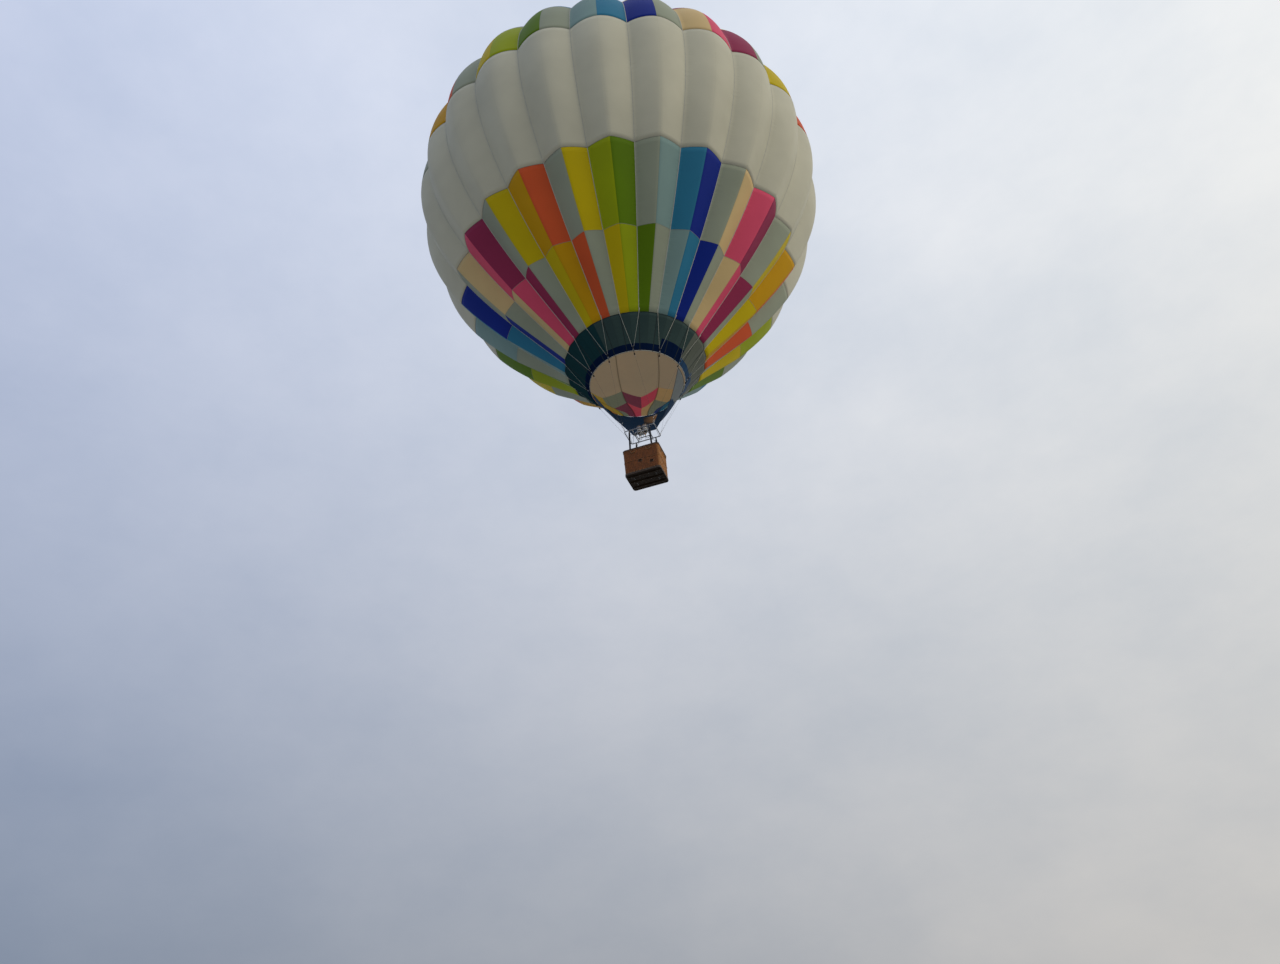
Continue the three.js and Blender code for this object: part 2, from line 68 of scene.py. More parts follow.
# %% Camera values
PICTURE_WIDTH = 1280
PICTURE_HEIGHT = 964
FOCAL_PIXELS = 962
SENSOR_WIDTH = 36
CENTRE_PIXEL = (619.7, 207.4)
CAMERA_RANGE = 47.07
LOOK_UP = math.radians(53.3)
CAMERA_SIDE = math.radians(15.8)
LEAN = math.radians(6.0)
FARTHEST_SEEN = 1000

# %% Place the camera
# The turn is built in steps: aim at the envelope's centre, roll by the lean, then swing the
# centre away from the middle of the picture to its own pixel.
away = CAMERA_RANGE * math.cos(LOOK_UP)
below = CAMERA_RANGE * math.sin(LOOK_UP)
camera_place = Vector((away * math.sin(CAMERA_SIDE), -away * math.cos(CAMERA_SIDE), -below))
swing = math.atan((CENTRE_PIXEL[0] - PICTURE_WIDTH / 2) / FOCAL_PIXELS)
drop = math.atan((PICTURE_HEIGHT / 2 - CENTRE_PIXEL[1]) / FOCAL_PIXELS * math.cos(swing))
turn = (-camera_place).to_track_quat("-Z", "Y").to_matrix()
for angle, axis in ((-LEAN, "Z"), (-drop, "X"), (swing, "Y")):
    turn = turn @ Matrix.Rotation(angle, 3, axis)
camera_data = bpy.data.cameras.new("camera")
camera_data.sensor_width = SENSOR_WIDTH
camera_data.lens = SENSOR_WIDTH * FOCAL_PIXELS / PICTURE_WIDTH
camera_data.clip_end = FARTHEST_SEEN
scene.camera = bpy.data.objects.new("camera", camera_data)
scene.camera.matrix_world = Matrix.Translation(camera_place) @ turn.to_4x4()
scene.collection.objects.link(scene.camera)
print("camera at", [round(value, 2) for value in camera_place], "lens", round(camera_data.lens, 2))

# %% [markdown]
# ## Shader arithmetic
#
# A finish is a sum of masks: a little dust here, a seam there. In the node editor each plus and
# times is a Math node. The class below wraps one output socket, so that `1 - mask * 0.4` adds
# those nodes by itself and the materials read like formulas.

# %% Sockets that can be added and multiplied


def math_node(operation, flipped=False):
    """A method that adds one Math node; a flipped one takes the other number first."""
    def method(self, *others):
        inputs = (*others, self) if flipped else (self, *others)
        return self.graph.node("ShaderNodeMath", {"operation": operation}, dict(enumerate(inputs)))
    return method


class Value:
    """An output socket that makes Math nodes when it is used in a sum."""

    __add__, __radd__ = math_node("ADD"), math_node("ADD", True)
    __sub__, __rsub__ = math_node("SUBTRACT"), math_node("SUBTRACT", True)
    __mul__, __rmul__ = math_node("MULTIPLY"), math_node("MULTIPLY", True)
    sine, size, below = math_node("SINE"), math_node("ABSOLUTE"), math_node("LESS_THAN")

    def __init__(self, graph, socket):
        self.graph = graph
        self.socket = socket

    def ramp(self, low, high, start=0.0, end=1.0):
        """Runs from start to end while this value goes from low to high, and stays there."""
        inputs = {0: self, 1: low, 2: high, 3: start, 4: end}
        return self.graph.node("ShaderNodeMapRange", {"clamp": True}, inputs)


class Graph:
    """The node tree of a material, or of a world, with its shader."""

    def __init__(self, name, world=False):
        self.owner = (bpy.data.worlds if world else bpy.data.materials).new(name)
        self.owner.use_nodes = True
        self.tree = self.owner.node_tree
        if world:
            self.shader = self.tree.nodes["Background"]
            return
        self.tree.nodes.clear()
        output = self.tree.nodes.new("ShaderNodeOutputMaterial")
        self.shader = self.tree.nodes.new("ShaderNodeBsdfPrincipled")
        self.tree.links.new(self.shader.outputs[0], output.inputs[0])

    def give(self, socket, value):
        if isinstance(value, Value):
            self.tree.links.new(value.socket, socket)
        else:
            socket.default_value = (*value, 1.0) if socket.type == "RGBA" else value

    def node(self, kind, settings=None, inputs=None, output=0):
        made = self.tree.nodes.new(kind)
        for name, setting in (settings or {}).items():
            setattr(made, name, setting)
        for key, value in (inputs or {}).items():
            self.give(made.inputs[key], value)
        return Value(self, made.outputs[output])

    def mix(self, share, first, second, way="MIX"):
        settings = {"data_type": "RGBA", "blend_type": way}
        return self.node("ShaderNodeMix", settings, {0: share, 6: first, 7: second}, 2)

    def place(self, layer=None):
        """Surface coordinates in metres: a UV layer, or the object's own space."""
        if layer:
            return self.node("ShaderNodeUVMap", {"uv_map": layer})
        return self.node("ShaderNodeTexCoord", output="Object")

    def stretched(self, place, *times):
        times = (*times, 1.0, 1.0, 1.0)[:3]
        return self.node("ShaderNodeVectorMath", {"operation": "MULTIPLY"}, {0: place, 1: times})

    def part_of(self, place, axis):
        return self.node("ShaderNodeSeparateXYZ", inputs={0: place}, output=axis)

    def noise(self, place, scale, detail=2.0, roughness=0.5):
        inputs = {"Vector": place, "Scale": scale, "Detail": detail, "Roughness": roughness}
        return self.node("ShaderNodeTexNoise", {"noise_dimensions": "3D"}, inputs)

    def set(self, **values):
        for name, value in values.items():
            self.give(self.shader.inputs[name.replace("_", " ")], value)

    def bump(self, height, distance, strength=1.0):
        inputs = {"Height": height, "Distance": distance, "Strength": strength}
        self.set(Normal=self.node("ShaderNodeBump", inputs=inputs))


def scaled(colour, times, more=0.0):
    return tuple(channel * times + more for channel in colour)


print("shader helpers ready")

# %% [markdown]
# ## Meshes from grids
#
# Cloth, cane, hoops and tubes are all grids of points: rows that follow one direction and columns
# that follow the other. One function turns such a grid into faces, and one more makes the piece,
# with a material for each face and surface coordinates in metres, which let a weave keep its real
# scale.

# %% From a grid to a piece


def grid_faces(rows, columns, wrap_rows):
    """Four-cornered faces between neighbouring rows; the columns always close into a loop."""
    strips = rows if wrap_rows else rows - 1
    r, c = np.meshgrid(np.arange(strips), np.arange(columns), indexing="ij")
    next_r, next_c = (r + 1) % rows, (c + 1) % columns
    spots = ((r, c), (r, next_c), (next_r, next_c), (next_r, c))
    return np.stack([row * columns + column for row, column in spots], axis=-1).reshape(-1, 4)


def make_piece(name, body, nodes, points, faces, materials, indexes, layers):
    """One object; its layers hold a pair of coordinates for each corner of each face."""
    mesh = bpy.data.meshes.new(name)
    mesh.from_pydata(points.tolist(), [], faces)
    for material in materials:
        mesh.materials.append(material)
    mesh.polygons.foreach_set("material_index", np.array(indexes, dtype=np.int32))
    mesh.polygons.foreach_set("use_smooth", np.array([len(face) <= 4 for face in faces]))
    for layer, corners in layers.items():
        uv = mesh.uv_layers.new(name=layer)
        uv.data.foreach_set("uv", np.asarray(corners, dtype=np.float32).ravel())
    mesh.update()
    piece = bpy.data.objects.new(name, mesh)
    scene.collection.objects.link(piece)
    if body:  # a piece that bends across a joint rides no body
        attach(piece, body)
    if nodes:
        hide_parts(*nodes)
    print(name, len(faces), "faces")
    return piece


def circle(count):
    """Points of a unit circle in its own plane."""
    turn = np.arange(count) * ROUND / count
    return np.stack([np.cos(turn), np.sin(turn)], axis=1)


def unit(vector):
    vector = np.asarray(vector, float)
    return vector / np.linalg.norm(vector, axis=-1, keepdims=True)


def run_of(points):
    """Distance covered along a line up to each of its points."""
    return np.concatenate([[0], np.cumsum(np.linalg.norm(np.diff(points, axis=0), axis=1))])


def at_level(flat, height):
    return np.column_stack([flat, np.full(len(flat), height)])


# %% [markdown]
# ## Loops joined one to the next
#
# A tube, a hoop, a turned pot and a bar with eased edges are all loops of points, joined one to
# the next and closed at both ends. The class below gathers such loops into one mesh, turns every
# face outwards, and lays surface coordinates in metres over them, so that a weave or a twist
# has its real size on a thin strap as well as on a wide wall.

# %% Gather loops into one mesh


def directions_along(path, closed, normal):
    """Two directions square to a path at each of its points, turning as little as they can."""
    step = np.roll(path, -1, axis=0) - np.roll(path, 1, axis=0)
    if not closed:
        step[0] = path[1] - path[0]
        step[-1] = path[-1] - path[-2]
    tangents = unit(step)
    side = np.asarray(normal, float)
    if abs(side @ tangents[0]) > 0.95 * np.linalg.norm(side):
        side = np.roll(tangents[0], -1)
    sides = []
    for tangent in tangents:
        side = unit(side - tangent * (side @ tangent))
        sides.append(side)
    return np.array(sides), np.cross(tangents, sides)


def outline(half_x, half_y, corner, steps=3):
    """A rounded rectangle, as points in its own plane."""
    angle = (np.arange(4)[:, None] + np.linspace(0, 1, steps + 1)[None, :]) * np.pi / 2
    x = np.array((1, -1, -1, 1))[:, None] * (half_x - corner) + corner * np.cos(angle)
    y = np.array((1, 1, -1, -1))[:, None] * (half_y - corner) + corner * np.sin(angle)
    return np.stack([x.ravel(), y.ravel()], axis=1)


class Build:
    """Gathers closed grids into one mesh. Every part of it names its own finish."""

    def __init__(self):
        self.points, self.faces, self.corners = [], [], []
        self.indexes, self.materials, self.count = [], [], 0

    def grid(self, points, finish, wrap_rows=False):
        """Rows of loops. The first and the last row are closed unless the rows wrap."""
        points = np.asarray(points, float)
        rows, columns = points.shape[:2]
        quads = grid_faces(rows, columns, wrap_rows)
        across = np.linalg.norm(np.roll(points, -1, axis=1) - points, axis=2).mean(axis=0)
        along = np.linalg.norm(np.roll(points, -1, axis=0) - points, axis=2).mean(axis=1)
        u, v = (np.concatenate([[0], np.cumsum(steps)]) for steps in (across, along))
        row, column = np.divmod(np.arange(len(quads)), columns)
        spots = ((column, row), (column + 1, row), (column + 1, row + 1), (column, row + 1))
        corners = np.stack([np.stack([u[c], v[r]], axis=-1) for c, r in spots], axis=1).tolist()
        flat = points.reshape(-1, 3)
        a, b, c, d = (flat[quads[:, k]] for k in range(4))
        volume = (np.cross(b, c) * a).sum() + (np.cross(c, d) * a).sum()
        faces = quads.tolist()
        if not wrap_rows:
            for loop in (range(columns)[::-1], range((rows - 1) * columns, rows * columns)):
                ring = flat[list(loop)]
                volume += (np.cross(ring, np.roll(ring, -1, axis=0)) @ ring[0]).sum()
                faces.append(list(loop))
                reach = np.linalg.norm(ring - ring.mean(axis=0), axis=1)
                corners.append([[value, 0.0] for value in reach.tolist()])
        if volume < 0:
            faces = [face[::-1] for face in faces]
            corners = [corner[::-1] for corner in corners]
        self.points.append(flat)
        self.faces.extend([[k + self.count for k in face] for face in faces])
        self.corners.extend(corners)
        if finish not in self.materials:
            self.materials.append(finish)
        self.indexes.extend([self.materials.index(finish)] * len(faces))
        self.count += len(flat)

    def sweep(self, path, section, finish, closed=False, normal=Z):
        """Carries a section, given as (side, up) offsets, along a path."""
        path = np.asarray(path, float)
        side, up = directions_along(path, closed, normal)
        section = np.asarray(section, float)
        if section.ndim == 2:
            section = np.broadcast_to(section, (len(path), *section.shape))
        offsets = section[..., :1] * side[:, None] + section[..., 1:] * up[:, None]
        self.grid(path[:, None] + offsets, finish, wrap_rows=closed)

    def tube(self, path, radius, finish, sides=10, closed=False, normal=Z):
        radius = np.broadcast_to(radius, len(path))[:, None, None]
        self.sweep(path, circle(sides)[None] * radius, finish, closed, normal)

    def strap(self, path, width, thickness, finish, closed=False, normal=Z):
        """Webbing with its flat side square to the normal's plane."""
        section = outline(thickness / 2, width / 2, thickness * 0.45, 2)
        self.sweep(path, section, finish, closed, normal)

    def ring(self, place, first, second, radius, rod, finish, steps=24, sides=10):
        path = np.asarray(place) + radius * (circle(steps) @ np.stack([first, second]))
        self.tube(path, rod, finish, sides, True, np.cross(first, second))

    def turned(self, profile, finish, place=(0, 0, 0), axis=Z, sides=24, wrap=False):
        """A profile of (radius, height) turned round an axis."""
        axis = unit(axis)
        first = unit(np.cross(axis, (0.31, 0.95, 0.07)))
        spoke = circle(sides) @ np.stack([first, np.cross(axis, first)])
        profile = np.maximum(np.asarray(profile, float), (0.0004, -1e9))
        points = profile[:, :1, None] * spoke[None] + profile[:, 1:, None] * axis
        self.grid(np.asarray(place) + points, finish, wrap_rows=wrap)

    def hollow(self, inner, outer, low, high, finish, place, axis=Z, sides=24):
        """A ring of square section turned round an axis."""
        corners = ((inner, low), (outer, low), (outer, high), (inner, high))
        self.turned(corners, finish, place, axis, sides, True)

    def disc(self, radius, depth, finish, place, axis, sides=20):
        self.turned([(radius, 0), (radius, depth)], finish, place, axis, sides)

    def block(self, size, finish, place, turn=np.eye(3), edge=0.003):
        """A bar or plate with eased edges; turn has its three directions as columns."""
        half = np.asarray(size, float) / 2
        rows = []
        for height, inset in ((-1, edge), (-1, 0), (1, 0), (1, edge)):
            z = height * (half[2] - (0 if inset else edge))
            flat = outline(half[0] - inset, half[1] - inset, edge * (0.4 if inset else 1), 2)
            rows.append(at_level(flat, z))
        points = np.asarray(rows) @ np.asarray(turn, float).T + np.asarray(place, float)
        self.grid(points, finish)

    def bolt(self, place, axis, radius, finish, head=0.006):
        """A hexagon head on its washer."""
        self.disc(radius * 1.5, 0.0015, finish, place, axis)
        profile = [(radius, 0.0015), (radius, head), (radius * 0.85, head + 0.001)]
        self.turned(profile, finish, place, axis, 6)

    def piece(self, name, body, slot, *nodes):
        points = np.concatenate(self.points)
        corners = [value for face in self.corners for corner in face for value in corner]
        layers = {"surface": corners}
        return make_piece(
            name, body, nodes, points, self.faces, self.materials, self.indexes, layers,
        )


print("builder ready")

# %% [markdown]
# ## Finishes of the rigging and basket
#
# Metal is shown by its scratches and by how its shine varies. Leather shows grain, webbing its
# weave, and cane its long fibres. Each of these is a few millimetres across, so every finish is
# drawn in metres on the piece, and the same webbing looks right on a strap and on a load tape.

# %% Metal


def metal(name, colour, roughness, tarnish=None, shine=1.0):
    graph = Graph(name)
    place = graph.place()
    blotches = graph.noise(place, 9.0, 4.0, 0.6)
    scratches = graph.noise(graph.stretched(place, 1.0, 1.0, 14.0), 90.0, 3.0, 0.7)
    dull = tarnish or scaled(colour, 0.6)
    graph.set(
        Base_Color=graph.mix(blotches.ramp(0.4, 0.75) * 0.55, colour, dull),
        Roughness=blotches * 0.16 + scratches * 0.14 + (roughness - 0.12),
        Metallic=shine,
    )
    graph.bump(scratches, 0.0004, 0.5)
    return graph.owner


GALVANISED = metal("galvanised_steel", (0.50, 0.52, 0.54), 0.42)
STAINLESS = metal("stainless_steel", (0.60, 0.59, 0.57), 0.26)
HEATED = metal("heated_steel", (0.42, 0.36, 0.31), 0.34, (0.12, 0.13, 0.24))
BRASS = metal("brass", (0.62, 0.42, 0.14), 0.30, (0.28, 0.18, 0.08))
TANK_METAL = metal("tank_aluminium", (0.56, 0.57, 0.58), 0.36)
PAINTED_TUBE = metal("frame_tube_steel", (0.36, 0.38, 0.41), 0.34, (0.20, 0.20, 0.21))
WIRE = metal("wire_rope", (0.16, 0.15, 0.14), 0.55, None, 0.6)

# %% Webbing, cover cloth and rope


def webbing(name, colour, rib=0.0022):
    graph = Graph(name)
    place = graph.place("surface")
    across = (graph.part_of(place, 0) * (ROUND / rib)).sine()
    along = (graph.part_of(place, 1) * (ROUND / (rib * 1.6))).sine()
    weave = across * along
    soil = graph.noise(graph.place(), 5.0, 4.0, 0.65)
    # Painted shade in the low points of the weave, plus real soil in patches
    shade = weave.ramp(-1.0, 1.0, 0.35, 0.0) + soil.ramp(0.45, 0.8, 0.0, 0.45)
    graph.set(
        Base_Color=graph.mix(shade, colour, scaled(colour, 0.55)),
        Roughness=soil * 0.1 + 0.72,
        Specular_IOR_Level=0.25,
    )
    graph.bump(weave, 0.0005, 0.7)
    return graph.owner


def rope(name, colour, lay=0.030):
    graph = Graph(name)
    place = graph.place("surface")
    twist = (graph.part_of(place, 0) * 3.0 + graph.part_of(place, 1)) * (ROUND / lay)
    strand = twist.sine()
    fibre = graph.noise(graph.stretched(place, 900.0, 60.0), 1.0, 2.0)
    # Painted shade in the grooves between the strands, with fibre tone over it
    shade = strand.ramp(-1.0, 0.3, 0.8, 0.0) + fibre * 0.25
    graph.set(
        Base_Color=graph.mix(shade, colour, scaled(colour, 0.45)), Roughness=fibre * 0.2 + 0.7,
    )
    graph.bump(strand + fibre * 0.3, 0.002, 0.8)
    return graph.owner


PALE_TAPE = webbing("pale_load_tape", (0.52, 0.52, 0.46))
SEAM_WEB = webbing("seam_tape", (0.30, 0.30, 0.25))
THROAT_TAPE = webbing("throat_tape", (0.020, 0.032, 0.034))
NAVY_TAPE = webbing("navy_tape", (0.006, 0.012, 0.034))
BLACK_WEB = webbing("black_webbing", (0.022, 0.022, 0.026))
COVER_CLOTH = webbing("upright_cover_cloth", (0.016, 0.018, 0.026), 0.0014)
HANDLE_ROPE = rope("handle_rope", (0.27, 0.165, 0.075))
ROUND_CANE = rope("round_cane", (0.27, 0.12, 0.05), 0.2)

# %% Leather, rubber, nylon and paint


def leather(name, colour, worn):
    graph = Graph(name)
    place = graph.place()
    grain = graph.node("ShaderNodeTexVoronoi", {"feature": "F1"}, {"Vector": place, "Scale": 380.0})
    pores = graph.noise(place, 900.0, 2.0)
    rubbed = graph.noise(place, 14.0, 4.0, 0.65).ramp(0.48, 0.68)
    graph.set(
        Base_Color=graph.mix(rubbed * 0.75, colour, worn),
        Roughness=0.62 - rubbed * 0.16 + pores * 0.1,
    )
    graph.bump(grain * -1.0 + pores * 0.3, 0.0012, 0.55)
    return graph.owner


def plain_coat(name, colour, roughness):
    """Paint, rubber or plastic: an even coat with dust on it and a fine orange-peel surface."""
    graph = Graph(name)
    dust = graph.noise(graph.place(), 22.0, 5.0, 0.6)
    graph.set(
        Base_Color=graph.mix(dust.ramp(0.45, 0.75) * 0.5, colour, scaled(colour, 0.7, 0.05)),
        Roughness=dust * 0.2 + roughness,
    )
    graph.bump(graph.noise(graph.place(), 420.0, 2.0), 0.0003, 0.5)
    return graph.owner


RIM_LEATHER = leather("rim_leather", (0.050, 0.026, 0.018), (0.13, 0.065, 0.036))
SOCKET_LEATHER = leather("socket_leather", (0.085, 0.040, 0.022), (0.17, 0.085, 0.045))
RAWHIDE = leather("rawhide", (0.038, 0.022, 0.014), (0.10, 0.062, 0.036))
THREAD = plain_coat("waxed_thread", (0.34, 0.27, 0.17), 0.55)
RUBBER = plain_coat("hose_rubber", (0.018, 0.018, 0.019), 0.42)
NYLON = plain_coat("nylon_rod", (0.50, 0.48, 0.40), 0.38)
RED_GRIP = plain_coat("red_grip", (0.38, 0.018, 0.014), 0.40)
BLUE_GRIP = plain_coat("blue_grip", (0.015, 0.06, 0.30), 0.40)
DIAL_FACE = plain_coat("dial_face", (0.66, 0.66, 0.62), 0.30)

# %% Wood


def wood(name, colour, dark):
    """Grain that runs along X, with scuffs."""
    graph = Graph(name)
    place = graph.stretched(graph.place(), 1.2, 22.0, 22.0)
    bands = (graph.noise(place, 1.0, 5.0, 0.6) * 46.0).sine()
    pores = graph.noise(graph.stretched(place, 2.0, 22.0, 22.0), 1.0, 2.0)
    scuffs = graph.noise(graph.place(), 7.0, 5.0, 0.7).ramp(0.5, 0.7)
    tint = graph.mix(bands.ramp(-1.0, 1.0) * 0.45 + pores * 0.35, colour, dark)
    graph.set(
        Base_Color=graph.mix(scuffs * 0.16, tint, (0.11, 0.085, 0.06)),
        Roughness=scuffs * 0.25 + 0.5,
        Specular_IOR_Level=0.12,
    )
    graph.bump(pores + bands * 0.2, 0.0008, 0.5)
    return graph.owner


def finish_node(node, finish):
    """A solid whose shape is right stays, and only gets its finish."""
    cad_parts[node].data.materials.clear()
    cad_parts[node].data.materials.append(finish)


SKID_WOOD = wood("skid_ash", (0.030, 0.019, 0.012), (0.011, 0.007, 0.005))
FLOOR_WOOD = wood("floor_plywood", (0.024, 0.015, 0.010), (0.009, 0.006, 0.004))
print("finishes ready")

# %% [markdown]
# ## The shape of the envelope
#
# The envelope hangs between 24 load tapes. In profile a tape follows a smooth curve, drawn here
# from the same few dimensions as the frame. Between two tapes the cloth is pushed out by the hot
# air, so each gore bulges, and the bulge fades towards the mouth and the crown.

# %% Dimensions of the envelope, in metres
GORES = 24
FIRST_TAPE = 7.5
EQUATOR = 8.75
CROWN_HEIGHT = 6.825
FULLNESS = 2.3
VENT_EDGE = 6.65
SHOULDER = 5.0
UPPER_ROW_SEAM = 2.7
COLOUR_SEAM = 0.09
LOWER_WHITE_SEAM = -5.338
ROW_SEAM = -7.87
THROAT_SEAM = -10.264
MOUTH = -11.436
LOWER_CURVE = ((EQUATOR, 0.0), (EQUATOR, -5.11), (3.308, -9.214), (1.899, MOUTH))
CURVE_STEPS = 241
BULGE_LEVELS = (MOUTH, THROAT_SEAM, ROW_SEAM, LOWER_WHITE_SEAM, COLOUR_SEAM, SHOULDER, VENT_EDGE)
BULGES = (0.0, 0.079, 0.324, 0.394, 0.359, 0.25, 0.06)

# Low down a gore is two nearly flat panels with a ridge between them, higher up it is round
ROUNDNESS = (1.1, 1.1, 1.15, 1.2, 1.85, 1.9, 1.9)

# How far the middle of a gore's seam lies above its ends on the tapes
ARCH_LEVELS = (MOUTH, THROAT_SEAM, ROW_SEAM, LOWER_WHITE_SEAM, -1.5)
ARCHES = (0.0, 0.0, 0.09, 0.13, 0.0)

# %% Profile of the tapes
# Radius, height, outward slope and length of the tape curve, from mouth to crown
t = np.linspace(1, 0, CURVE_STEPS)
weights = np.stack([(1 - t) ** 3, 3 * (1 - t) ** 2 * t, 3 * (1 - t) * t * t, t ** 3], axis=1)
angle = np.linspace(0, np.pi / 2, CURVE_STEPS)[1:]
upper = np.stack([
    EQUATOR * np.maximum(np.cos(angle), 0) ** (2 / FULLNESS),
    CROWN_HEIGHT * np.sin(angle) ** (2 / FULLNESS),
], axis=1)
curve = np.concatenate([weights @ np.array(LOWER_CURVE), upper])
slope = unit(np.gradient(curve, axis=0))
RADII, HEIGHTS = curve.T
NORMALS = np.stack([slope[:, 1], -slope[:, 0]], axis=1)
LENGTHS = run_of(curve)


def length_at(height):
    return float(np.interp(height, HEIGHTS, LENGTHS))


def cloth_points(length, turn, lift=0.0):
    """Points of the outer cloth: length along the tape from the mouth, turn round in gores."""
    length, turn = np.broadcast_arrays(np.asarray(length, float), np.asarray(turn, float))
    across = np.abs(2 * np.mod(turn, 1.0) - 1)
    height = np.interp(length, LENGTHS, HEIGHTS)
    swell = 1 - across ** np.interp(height, BULGE_LEVELS, ROUNDNESS)
    length = length + np.interp(height, ARCH_LEVELS, ARCHES) * swell
    radius, height, out, rise = (
        np.interp(length, LENGTHS, values) for values in (RADII, HEIGHTS, *NORMALS.T)
    )
    stand = np.interp(height, BULGE_LEVELS, BULGES) * swell + lift
    return around(radius + out * stand, FIRST_TAPE + turn * 360 / GORES, height + rise * stand)


def around(radius, angle, height):
    """A point at an angle in degrees: 0 is the front, and it grows towards +X."""
    angle = np.radians(angle)
    parts = np.broadcast_arrays(radius * np.sin(angle), -radius * np.cos(angle), height)
    return np.stack(parts, axis=-1)


print("tape length from mouth to crown", round(LENGTHS[-1], 2))

# %% [markdown]
# ## Envelope cloth
#
# The cloth is ripstop nylon with a coating: satin, a little translucent, and puckered where it is
# sewn to the tapes. The puckers are noise that is stretched across the tape and fades within a
# hand's width or two of it. Daylight comes through the cloth, so its inner face glows
# a little. A faint emission of the cloth's own colour stands in for that light.

# %% Cloth colours
CLOTH = {
    "white": (0.60, 0.585, 0.46),
    "grey": (0.33, 0.365, 0.275),
    "pale_blue": (0.225, 0.345, 0.33),
    "blue": (0.030, 0.20, 0.34),
    "dark_blue": (0.006, 0.024, 0.26),
    "beige": (0.68, 0.50, 0.24),
    "pink": (0.76, 0.088, 0.172),
    "magenta": (0.31, 0.030, 0.090),
    "yellow": (0.60, 0.46, 0.004),
    "amber": (0.60, 0.32, 0.004),
    "orange_red": (0.67, 0.104, 0.032),
    "light_green": (0.33, 0.40, 0.006),
    "dark_green": (0.115, 0.215, 0.004),
    "throat_teal": (0.012, 0.045, 0.052),
    "throat_slate": (0.036, 0.066, 0.064),
    "throat_grey": (0.115, 0.130, 0.105),
    "navy": (0.0035, 0.012, 0.045),
    "strip_blue": (0.012, 0.055, 0.135),
}

# %% Cloth material
LIT_THROUGH = 0.152
WHITE_LIT_THROUGH = (0.55, 0.425, 0.315)
BLUER = (0, 0.06, 0.1)  # the sky adds this to what a colour lets through
STITCH_SHARE = {"white": 0.06}


def cloth(colour, inside):
    graph = Graph(f"cloth_{colour}_{'inside' if inside else 'outside'}")
    place = graph.place("tape")
    from_tape = graph.part_of(place, 0)
    swell = graph.noise(graph.stretched(graph.place(), 1.0, 1.0, 0.5), 0.5, 1.0) - 0.5
    fade = graph.noise(graph.place(), 0.35, 3.0, 0.6).ramp(0.3, 0.7)
    base = CLOTH[colour]
    worn = scaled(base, 0.86, 0.003 * min(1.0, max(base) * 12))
    if inside:
        graph.bump(swell, 0.02, 0.6)
        stitched = from_tape.below(0.030) * 0.75
    else:
        middle = graph.place("middle")
        from_middle = graph.part_of(middle, 0)
        puckers = graph.noise(graph.stretched(place, 1.5, 9.0), 1.0, 2.0) - 0.5
        seam_puckers = graph.noise(graph.stretched(middle, 2.5, 14.0), 1.0, 1.0) - 0.5
        near_tape = from_tape.ramp(0.0, 0.42, 1.0, 0.0)
        near_middle = from_middle.ramp(0.0, 0.18, 1.0, 0.0)
        relief = puckers * near_tape * near_tape + seam_puckers * near_middle * 0.35 + swell * 0.6
        graph.bump(relief, 0.035, 0.8)
        stitched = from_middle.below(0.014) * STITCH_SHARE.get(colour, 0.25)
    graph.set(
        Base_Color=graph.mix(stitched, graph.mix(fade, base, worn), scaled(base, 0.5)),
        Roughness=fade * 0.1 + 0.5,
        Specular_IOR_Level=0.0 if max(base) < 0.06 else 0.07,
    )
    if inside:
        through = WHITE_LIT_THROUGH
        if colour != "white":
            through = tuple(part ** 2 + 0.35 * part + more for part, more in zip(base, BLUER))
        lit = graph.mix(stitched, graph.mix(fade * 0.2, through, worn), scaled(through, 0.25))
        graph.set(Emission_Color=lit, Emission_Strength=LIT_THROUGH)
    return graph.owner


cloth_finishes = {}


def cloth_finish(colour, inside):
    key = (colour, inside)
    if key not in cloth_finishes:
        cloth_finishes[key] = cloth(colour, inside)
    return cloth_finishes[key]


print(len(CLOTH), "cloth colours")

# %% [markdown]
# ## Colour rows
#
# Every gore is sewn from two half panels, so a row has 48 of them. One sequence of 16 colours
# repeats three times round the balloon. Each row down starts half a gore further round,
# which turns the columns of colour into steps.

# %% The sequence and its rows
SEQUENCE = (
    "grey", "pale_blue", "blue", "dark_blue", "grey", "beige", "pink", "magenta",
    "grey", "yellow", "amber", "orange_red", "grey", "yellow", "light_green", "dark_green",
)

# Half panels are counted from the tape at the sequence's start, the second tape round
SEQUENCE_START = 2

# How far each row's colours are turned, in half panels
ROW_SHIFT = {"second": 5, "first": 3, "upper": 0, "lower": -1}

# The throat is sewn from twelve panels that meet at the rings: teal at the rear and left, slate in
# front and grey on the right. Its navy strip has one taller panel and two of a brighter blue
THROAT_ROWS = ("hem", "strip", "upper_strip", "tall_strip", "throat")
THROAT_PANELS = ("slate", "slate", "grey", "grey", "grey", *["teal"] * 6, "slate")


def throat_colour(row, panel):
    strip = row in THROAT_ROWS[:2]
    if (panel == 2 and strip) or (panel == 3 and (strip or row == "upper_strip")):
        return "strip_blue"
    if strip or (panel == 1 and row != "throat"):
        return "navy"
    return "throat_" + THROAT_PANELS[panel]


def panel_colour(row, half):
    """Colour of a half panel; half counts round from the first tape."""
    if row in THROAT_ROWS:
        return throat_colour(row, (half - 1) // 4 % 12)
    if row not in ROW_SHIFT:
        return row
    return SEQUENCE[(half - SEQUENCE_START + ROW_SHIFT[row]) % len(SEQUENCE)]


print("first gores of the lower row:", [panel_colour("lower", half) for half in range(4)])

# %% [markdown]
# ## Envelope bands
#
# Each band is one closed shell of two layers, a few millimetres apart, because a sheet with
# no thickness would look wrong at the mouth. The seams between colours lie on rows of the grid,
# so the colour changes exactly there, and the bulge makes each seam a row of scallops.

